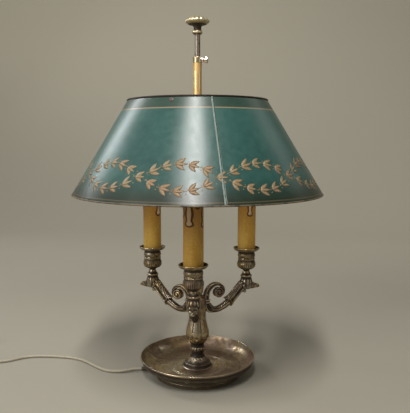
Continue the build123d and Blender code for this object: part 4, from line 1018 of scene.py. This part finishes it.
# ================================================================ the rod, the knob and the slider
# A steel rod screwed in the column with a cast and gilt knob on it.  A brass sleeve slides on the
# rod and carries the shade, and a knurled screw in its collar holds it at any height.
rod_steel = worn("rod_steel", (0.30, 0.255, 0.21), (0.15, 0.12, 0.10), 1.0, 0.36)
polished_brass = worn("polished_brass", (0.93, 0.68, 0.33), (0.72, 0.49, 0.20), 1.0, 0.40, 90.0)
nickel = worn("nickel", (0.80, 0.70, 0.64), (0.50, 0.42, 0.36), 1.0, 0.22)


def gilding(wire):
    """Worn gilt: olive-gold on the ridges, and black-brown with dirt in the hollows and with painted shade
    underneath.
    """
    hollow, grain = wire.mark("hollow"), wire.noise(420.0, 4.0)
    grime_and_shade = (hollow + 0.5 * grain).rise(0.20, 0.70)
    rubbed = (0.4 * grain - hollow).rise(0.35, 0.80)
    gold = (0.7 * rubbed).blend((0.44, 0.355, 0.185), (0.80, 0.70, 0.48))
    return {"Base Color": (0.95 * grime_and_shade).blend(gold, (0.022, 0.015, 0.010)),
            "Roughness": 0.34 + 0.2 * grime_and_shade, "Metallic": 0.85 - 0.5 * grime_and_shade,
            "Normal": wire.bump(grain, 0.06 * MM)}


def collar_metal(wire):
    """Brass, with a pale patch on the boss, on the side of the screw, which is a painted highlight."""
    grain = wire.noise(260.0, 4.0)
    boss_highlight = (wire.along("X") + 0.002 * grain).rise(0.0030, 0.0062)
    return {"Base Color": boss_highlight.blend((0.50, 0.41, 0.25), (0.80, 0.70, 0.62)),
            "Roughness": 0.24 + 0.15 * grain, "Normal": wire.bump(grain, 0.02 * MM)}


def knob_gadroons(r, z, angle):
    """Twelve rounded lobes over the top and the shoulder, that die out at the middle and below."""
    return (np.abs(np.cos(6 * angle)) ** 0.7 - 0.75) * step_up(r, 0.18, 0.45) * step_up(z, 0.42, 0.58)


def knob_shade_and_light(r, z, angle):
    """Painted shade on the underside and the neck, and painted light on the top, which is kept clean
    and bright.
    """
    return 1 - step_up(z, 0.30, 0.48) - 0.35 * step_up(z, 0.56, 0.75)


def collar_painted_shade(r, z, angle):
    """Painted shade above and below a bright ring, where the collar meets the knob and the rod."""
    return 0.8 * (1 - bell(z, 0.5, 0.3)) - 0.45 * bell(z, 0.5, 0.25)


knob_gilt = finish("knob_gilt", gilding)
knob = [
    ((0, 0.332), (0.245, 0.332), (0.245, 0)),
    [(0.325, 0), (0.325, 0.12), (0.35, 0.24), (0.52, 0.335), (0.84, 0.43), (1.0, 0.60), (0.86, 0.765),
     (0.541, 0.90), (0.20, 0.975)],
    [(0.17, 0.965), (0.12, 0.985), (0, 1.0)],
]
turn_piece("knob", knob, knob_gilt, around=192, closed=False, relief=knob_gadroons, dirt_and_shade=knob_shade_and_light,
           step=0.5)
knob_ring = [
    [(0.571, 0), (0.80, 0)],
    [(0.80, 0.02), (0.943, 0.2), (1.0, 0.5), (0.929, 0.75), (0.814, 0.98)],
    [(0.80, 1.0), (0.571, 1.0)],
]
turn_piece("knob_collar", knob_ring, knob_gilt, around=96, dirt_and_shade=collar_painted_shade, step=0.4)
rod = [((0, 0), (0.9, 0), (1.0, 0.001), (1.0, 0.999), (0.9, 1.0), (0, 1.0))]
turn_piece("centre_rod", rod, rod_steel, around=48, closed=False, step=12.0)
slide = [((0.4137, 0), (1.0, 0), (1.0, 0.0391), (0.6316, 0.0391), (0.6316, 1.0), (0.4137, 1.0))]
turn_piece("shade_sleeve", slide, polished_brass, around=96, ease=0.2, step=8.0)


def knurled(low, high, shank_r=2.0, head_r=4.4, head_long=5.0, pitch=0.5):
    """The screw, along X: a shank with a fine thread, and a head with 24 flutes whose edges are
    rounded to 0.6 mm."""
    shank = np.linspace(low, high - head_long - 0.2, 120)
    head = high - np.array([head_long + 0.15, head_long + 0.05, 4.9, 4.5, 3, 1.6, 0.5, 0.15, 0])
    at, angle = np.concatenate([shank, head])[:, None], ring_angles(96)
    in_head = step_up(at, high - head_long - 0.15, high - head_long)
    thread = 0.10 * np.cos(TURN * at / pitch + angle) - 0.10
    edge = 0.5 * (1 - step_up(np.minimum(high - at, at - high + head_long), 0.0, 0.6))
    flutes = -0.28 * wave(angle, 24) * bell(at, high - head_long / 2, 1.9)
    r = (1 - in_head) * (shank_r + thread) + in_head * (head_r - edge + flutes)
    return closed_ends(spread(at, r * np.cos(angle), r * np.sin(angle)))


low, high = box_mm("thumb_screw")
screw = joined("thumb_screw_knurled", [knurled(low[0], high[0]) + (0, 0, (low[2] + high[2]) / 2)], nickel)
stands_for(screw, "thumb_screw")
dress(finish("collar_metal", collar_metal, {"Metallic": 1.0}), "sleeve_collar")


# ================================================================ the shade
# Two half cones of tinplate, painted blue-green outside and cream inside, folded together down two
# seams and rolled round wires at the top and the bottom.  A brass spider is riveted across it.
SHADE_LOW = np.array([172.8, 263.2])          # radius and height of the outer face at the lower edge
SHADE_HIGH = np.array([96.0, 389.6])          # and at the upper edge
SLOPE = SHADE_HIGH - SHADE_LOW
SLOPE_LENGTH = float(np.hypot(*SLOPE))
UP_SLOPE = SLOPE / SLOPE_LENGTH
SEAM_AT = radians(-75.7)                      # the angle of the seam in front
SHEET = 0.8                                   # the sheet's thickness


def from_seam(angle):
    """The angle to the nearer of the two seams."""
    return np.abs((angle - SEAM_AT + pi / 2) % pi - pi / 2)


def on_shade(angle, up, out):
    """Points on the shade, from the angle, the distance up the slope and the distance out from the
    outer face, in millimetres.  The face is a cone with low, broad waves that die out at the seams
    and the edges, as thin sheet has."""
    share = up / SLOPE_LENGTH
    waves = (0.22 * np.sin(5 * angle + 2.2 * share) + 0.16 * np.sin(9 * angle - 3.0 * share + 1.0)
             + 0.14 * np.sin(14 * angle + 2.0 * share)) * (0.35 + 0.65 * np.sin(pi * share))
    free = (1 - bell(from_seam(angle), 0, 0.14)) * np.clip(4 * share * (1 - share), 0, 1)
    out = out + waves * free
    r = SHADE_LOW[0] + up * UP_SLOPE[0] + out * UP_SLOPE[1]
    z = SHADE_LOW[1] + up * UP_SLOPE[1] - out * UP_SLOPE[0]
    return spread(r * np.cos(angle), r * np.sin(angle), z)


LINE_AT, LOW_LINE_AT = 0.3755, 0.2668         # heights of the painted lines, in metres


def shade_paint(wire):
    """Blue-green oil paint in faint clouds, finely speckled and rubbed, darker above a copper line
    under the upper edge and near the lower edge, which has a faint line too.  Cream paint inside."""
    inside = wire.mark("inside")
    cloud, grain, speck = wire.noise(9.0, 3.0), wire.noise(120.0, 5.0), wire.noise(900.0, 3.0)
    height = wire.along("Z")
    green = (0.6 * cloud + 0.4 * grain).rise(0.32, 0.68).blend((0.014, 0.056, 0.048), (0.026, 0.086, 0.074))
    rubbed = (0.5 * speck + 0.5 * grain).rise(0.60, 0.78)
    green = (0.35 * rubbed).blend(green, (0.13, 0.135, 0.085))
    above = height.rise(LINE_AT, LINE_AT + 0.001)
    below = 1 - height.rise(0.2655, 0.2960)
    banded = (0.75 * above).blend((0.95 * below).blend(green, (0.010, 0.017, 0.008)), (0.022, 0.040, 0.026))
    line = 1 - (abs(height - LINE_AT) + 0.0006 * grain).rise(0.0007, 0.0013)
    low_line = 1 - (abs(height - LOW_LINE_AT) + 0.0006 * grain).rise(0.0006, 0.0011)
    lined = (0.5 * line + 0.15 * low_line).blend(banded, (0.40, 0.25, 0.13))
    cream = grain.rise(0.4, 0.7).blend((0.66, 0.61, 0.48), (0.58, 0.52, 0.38))
    return {"Base Color": inside.blend(lined, cream), "Roughness": 0.27 + 0.12 * grain + 0.2 * inside,
            "Normal": wire.bump(0.35 * cloud + 0.05 * speck, 0.25 * MM)}


shade_green = finish("shade_green", shade_paint, {"Specular IOR Level": 0.5})


def shade_panel(node, first):
    """Half of the shade: its outer face from edge to edge, rounded at the edges, and its inner face
    back, drawn together along the two seams."""
    rounding = 0.15                   # millimetres in from each face, at the edges
    gap, pinch = 0.0008, 0.0006       # radians from a seam to the sheet, and back to its closed side
    up = np.concatenate([[0.25], np.linspace(0.8, SLOPE_LENGTH - 0.8, 60), [SLOPE_LENGTH - 0.25]])
    rows = len(up)
    up = np.concatenate([up, up[::-1]])[:, None]
    inside = np.repeat([0.0, 1.0], rows)[:, None]
    out = -SHEET * inside
    out[[0, rows - 1]], out[[rows, -1]] = -rounding, rounding - SHEET
    angle = np.linspace(first + gap, first + pi - gap, 241)[None, :]
    angle = np.concatenate([angle[:, :1] - pinch, angle, angle[:, -1:] + pinch], axis=1)
    out = np.repeat(out, angle.shape[1], axis=1)
    out[:, [0, -1]] = -SHEET / 2
    piece = skin(f"{node}_sheet", on_shade(angle, up, out) * MM, shade_green, wrap_rows=True,
                 inside=np.broadcast_to(inside, out.shape))
    stands_for(piece, node)


shade_panel("shade_panel_a", SEAM_AT)
shade_panel("shade_panel_b", SEAM_AT + pi)


def seam_paint(wire):
    """The shade's paint, worn through to bright tin along the fold, which also serves as a painted
    highlight on the fold's ridge.
    """
    grain = wire.noise(240.0, 4.0)
    bare_and_glint = (wire.mark("wear") + 0.7 * grain).rise(0.85, 1.20)
    return {"Base Color": bare_and_glint.blend((0.030, 0.080, 0.068), (0.40, 0.37, 0.29)),
            "Roughness": 0.34 + 0.1 * grain, "Metallic": 0.3 * bare_and_glint, "Normal": wire.bump(grain, 0.08 * MM)}


def seam_fold(angle, rows=120, half_width=1.5):
    """One folded seam: a strip up the slope with rounded edges and a ridge along its middle."""
    across = np.array([0.07, 0.15, 0.3, 0.8, 0.96, 1])
    height = np.array([0.62, 0.36, 0.16, 0.12, 0.05, -0.2])
    across = half_width * np.concatenate([-across[::-1], [0], across])
    height = np.concatenate([height[::-1], [0.70], height])
    up = np.linspace(0.6, SLOPE_LENGTH - 0.6, rows)[:, None]
    ring = np.concatenate([across, across[-2:0:-1]])
    rise_by = np.concatenate([height, np.full(len(across) - 2, -0.45)])
    points = on_shade(angle + ring / (SHADE_LOW[0] + up * UP_SLOPE[0]), up, rise_by)
    wear = np.broadcast_to(bell(ring, 0, 0.36) * (rise_by > 0), (rows + 2, len(ring)))
    return closed_ends(points), wear


folds, wear = zip(*(seam_fold(SEAM_AT + side) for side in (0, pi)))
seams = joined("shade_seam_folds", folds, finish("seam_paint", seam_paint), wear=wear)
stands_for(seams, "shade_seam_strips")


def rolled_edge(name, base, dirt, constants):
    """A rolled wire edge whose paint has darkened and rubbed."""
    def surface(wire):
        grain = wire.noise(180.0, 4.0)
        return {"Base Color": grain.rise(0.4, 0.7).blend(base, dirt), "Roughness": 0.35 + 0.2 * grain,
                "Normal": wire.bump(grain, 0.08 * MM)}
    return finish(name, surface, constants)


dress(rolled_edge("shade_top_edge", (0.014, 0.009, 0.006), (0.034, 0.022, 0.014),
                  {"Specular IOR Level": 0.15}), "shade_top_bead")
dress(rolled_edge("shade_low_edge", (0.15, 0.115, 0.070), (0.045, 0.042, 0.028), {"Metallic": 0.3}),
      "shade_bottom_bead")
dress(worn("spider_brass", (0.50, 0.36, 0.17), (0.28, 0.19, 0.09), 1.0, 0.42, 90.0),
      "spider_hub", "spider_bars")
dress(worn("rivet_paint", (0.045, 0.030, 0.022), (0.10, 0.06, 0.04), 0.0, 0.5), "spider_rivets")


# ================================================================ the garland
# Leaves in copper-gold paint round the shade above its lower edge, in two strands that cross ten
# times, with six sprays from crossing to crossing.  The paint lies as thin flakes on the green.
def metal_leaf(wire):
    """Copper-gold paint, thin in places and along the leaves' edges, and darker there, and dulled at
    the shade's left and right, which is painted shade."""
    edge, thin = wire.mark("edge"), wire.noise(330.0, 4.0)
    patch = wire.noise(45.0, 2.0).rise(0.35, 0.65)
    copper = patch.blend((0.225, 0.135, 0.064), (0.205, 0.155, 0.076))
    # Painted shade: the leaves are dulled towards the shade's left and right
    sides = abs(wire.along("X")).rise(0.05, 0.15)
    faded_and_shaded = (0.50 * thin + 0.55 * edge + 0.28 * sides).rise(0.50, 0.80)
    return {"Base Color": (0.8 * faded_and_shaded).blend(copper, (0.095, 0.085, 0.055)),
            "Roughness": 0.36 + 0.22 * thin, "Normal": wire.bump(thin, 0.08 * MM)}


CROSSINGS, SPRAYS = 10, 6
GARLAND_UP, GARLAND_SWAY = 36.0, 17.5         # the strands' middle up the slope, and their sway
crossing, stop, strand = np.meshgrid(np.arange(CROSSINGS), np.arange(SPRAYS), (-1, 1), indexing="ij")
shown = (stop > 0) | (strand > 0)             # one spray where the strands cross
crossing, stop, strand = (each[shown][:, None, None] for each in (crossing, stop, strand))
spray_angle = SEAM_AT + TURN / CROSSINGS * (crossing + stop / SPRAYS)
spray_up = GARLAND_UP + strand * GARLAND_SWAY * np.sin(pi * stop / SPRAYS)
spray_r = SHADE_LOW[0] + spray_up * UP_SLOPE[0]
climb = strand * GARLAND_SWAY * pi * np.cos(pi * stop / SPRAYS) * (stop > 0)
lean = np.arctan(climb * CROSSINGS / TURN / spray_r)
unevenness = np.sin(7.3 * crossing + 2.9 * stop + 1.7 * strand)


def painted(along, across, thickness=0.10, edge=0.0, sunk=0.12):
    """Thin closed flakes of paint, one on each spray, whose last row runs on to the first.  Each
    stands out by its thickness and is sunk a little in the sheet.  along and across are grids of
    distances from the spray's middle before its lean, and edge goes with each point as a fourth
    number."""
    angle = spray_angle + (along * np.cos(lean) - across * np.sin(lean)) / spray_r
    up = spray_up + along * np.sin(lean) + across * np.cos(lean)
    marks = np.broadcast_to(edge, up.shape)[..., None]
    top, under, rim = (np.concatenate([on_shade(angle, up, out), marks], axis=-1)
                       for out in (thickness, -sunk, 0.0))
    loop, band = (np.concatenate([over, below[:, ::-1]], axis=1)
                  for over, below in ((top, under), (rim, rim)))
    return [*np.concatenate([band[:, :, :1], loop, band[:, :, -1:]], axis=2)]


def leaves(tilt, length, width, bend, thickness, back=6.5):
    """A pointed leaf on each spray, from a little back along its stem: its half width is a sine of
    its length to the power 0.8, and its middle bends aside with the square of the length."""
    u, v = np.linspace(0.03, 1, 5)[None, :, None], np.linspace(-1, 1, 3)[None, None, :]
    along = length * (1 + 0.08 * unevenness) * u + 0 * v
    across = width / 2 * v * np.sin(pi * u**0.8) + bend * u**2
    tip = radians(tilt)
    return painted(along * np.cos(tip) - across * np.sin(tip) - back,
                   along * np.sin(tip) + across * np.cos(tip), thickness, np.abs(v))


def berries(along, across, radius):
    """A berry beside each spray, as a disc drawn from a polar grid."""
    r = np.linspace(0.05, 1, 2)[None, :, None] * radius
    t = np.linspace(0, TURN, 9)[None, None, :]
    return painted(along + r * np.cos(t), across + r * np.sin(t) + 0 * unevenness)


def stems():
    """The thin stem from each spray towards the next."""
    u, v = np.linspace(0, 1, 5)[None, :, None], np.linspace(-1, 1, 2)[None, None, :]
    return painted(-10.5 + 5.0 * u + 0 * v, (0.45 - 0.15 * u) * v + 0.6 * np.sin(pi * u) + 0 * unevenness)


# A spray's leaves: their tilt in degrees, length, width, bend and thickness.  Its berries: how far
# along and across they are, and their radius
LEAF_SHAPES = ((31, 13.8, 5.6, 0.8, 0.14), (-32, 13.4, 5.6, -0.8, 0.11), (-1, 13.6, 4.2, 0.3, 0.18))
BERRY_SHAPES = ((8.6, -3.4, 0.75), (9.2, 2.8, 0.6))
flakes = [flake for shape in LEAF_SHAPES for flake in leaves(*shape)]
flakes += [flake for shape in BERRY_SHAPES for flake in berries(*shape)] + stems()
garland = joined("shade_garland", [flake[..., :3] for flake in flakes], finish("metal_leaf", metal_leaf),
                 wrap_rows=True, edge=[flake[..., 3] for flake in flakes])
goes_with(garland, "shade")


# ================================================================ the cord
# Round two-core flex.  A flat run of it leaves the foot at the left, drops to the table and bends
# lazily to the switch in the line.  From there the rest lies in a wound hank, and ends in its plug.
CORD_D = 0.0042           # its diameter, in metres
LIE = 2.15                # the height of its middle where it lies on the table, in millimetres


def route(name, places, *nodes):
    """A round cord through the points of its route, in metres, that stands for some nodes."""
    curve = bpy.data.curves.new(name, "CURVE")
    curve.dimensions = "3D"
    curve.bevel_depth, curve.bevel_resolution, curve.resolution_u = CORD_D / 2, 6, 6
    curve.use_fill_caps = True
    line = curve.splines.new("NURBS")
    line.points.add(len(places) - 1)
    line.points.foreach_set("co", np.column_stack([places, np.ones(len(places))]).ravel())
    line.order_u = 3
    line.use_endpoint_u = True
    line.use_smooth = True
    curve.materials.append(cord_pvc)
    piece = put(name, curve)
    stands_for(piece, *nodes)
    return piece


TABLE_RUN = MM * np.array([
    (-81.45, -2.84, 4.2), (-91.44, -3.19, 4.2), (-105, -9.4, 2.9), (-120.5, -11.2, LIE),
    (-136.5, -7, LIE), (-153.3, 6.8, LIE), (-172.6, 25.2, LIE), (-193, 36.4, LIE), (-216.3, 39.9, LIE),
    (-241, 41, LIE), (-263.5, 38.2, LIE), (-278.8, 28.6, LIE), (-289.5, 18.6, LIE), (-303, 13.4, LIE),
    (-314, 10.4, 3.1), (-325, 8.7, 6.4), (-334, 8, 8), (-343, 8, 8)])
first = route("cord_on_table", TABLE_RUN, "lamp_cord")

# The hank is wound from the outside in and back out, layer on layer.  Each pair is a count of turns
# and the column or layer that the cord is in by then
COLUMNS = ((0, 3), (0.833, 3), (1, 2), (1.833, 2), (2, 1), (2.833, 1), (3, 0), (4.667, 0), (4.833, 1),
           (5.667, 1), (5.833, 2), (6.667, 2), (6.833, 3), (8.5, 3), (8.667, 2), (9.167, 2), (9.5, 3))
LAYERS = ((0, 0), (3.667, 0), (3.833, 1), (7.5, 1), (7.667, 2), (9.0, 2), (9.25, 3), (9.5, 3))
HANK_AT, HANK_R, PER_TURN = (-450.0, 37.6), 16.7, 16
turns = np.arange(int(COLUMNS[-1][0] * PER_TURN) + 1) / PER_TURN
ring = HANK_R + CORD_D / MM * np.interp(turns, *np.array(COLUMNS).T)
lift = LIE + CORD_D / MM * np.interp(turns, *np.array(LAYERS).T)
ring = ring / cos(pi / PER_TURN)          # the cord runs a little inside its points
hank = spread(HANK_AT[0] - ring * np.sin(TURN * turns), HANK_AT[1] - ring * np.cos(TURN * turns), lift)
to_hank = [(-398, 8, 8), (-407, 8, 8), (-417, 8.4, 6.3), (-429, 8.2, 3.2)]
to_plug = [(-437, 68.1, 10.3), (-426.5, 73.1, 9.05), (-417.5, 80.1, 7.45), (-407.5, 84.5, 6.85),
           (-397, 84.5, 6.85)]
STORED_RUN = MM * np.vstack([to_hank, hank, to_plug])
second = route("cord_in_hank", STORED_RUN, "cord_to_coil", "cord_coil", "cord_to_plug")


def tapered_sleeve(points, wide=4.2, narrow=2.7, rings=9):
    """A moulded strain relief along a bending line: its radius falls evenly from wide to narrow,
    with ring grooves between its two ends."""
    share = np.linspace(0, 1, 90)
    grooved = step_up(share, 0.12, 0.2) * (1 - step_up(share, 0.86, 0.93))
    grooves = bell((share * rings) % 1, 0.5, 0.16) * grooved
    return pipe(spline(points, 90), wide + (narrow - wide) * share - 0.30 * grooves, 32)


# The strain reliefs' middle lines, from the switch or the plug outwards, in millimetres
RELIEFS = {
    "switch_sleeve_in": [(-343.5, 8, 8), (-334, 8.0, 7.75), (-326, 8.7, 6.35), (-319, 9.6, 4.9)],
    "switch_sleeve_out": [(-397.5, 8, 8), (-406, 8.1, 7.6), (-414, 8.3, 6.3), (-421, 8.3, 4.9)],
    "plug_sleeve": [(-396.5, 84.5, 6.85), (-404, 84.2, 6.9), (-411.5, 82.6, 7.1), (-418, 79.6, 7.55)],
}
for name, points in RELIEFS.items():
    material, slot = plug_plastic, "plug_plastic"
    if name == "switch_sleeve_in":
        material, slot = bush_pvc, "bush_pvc"
    goes_with(joined(name, [tapered_sleeve(points)], material), "lamp_frame")
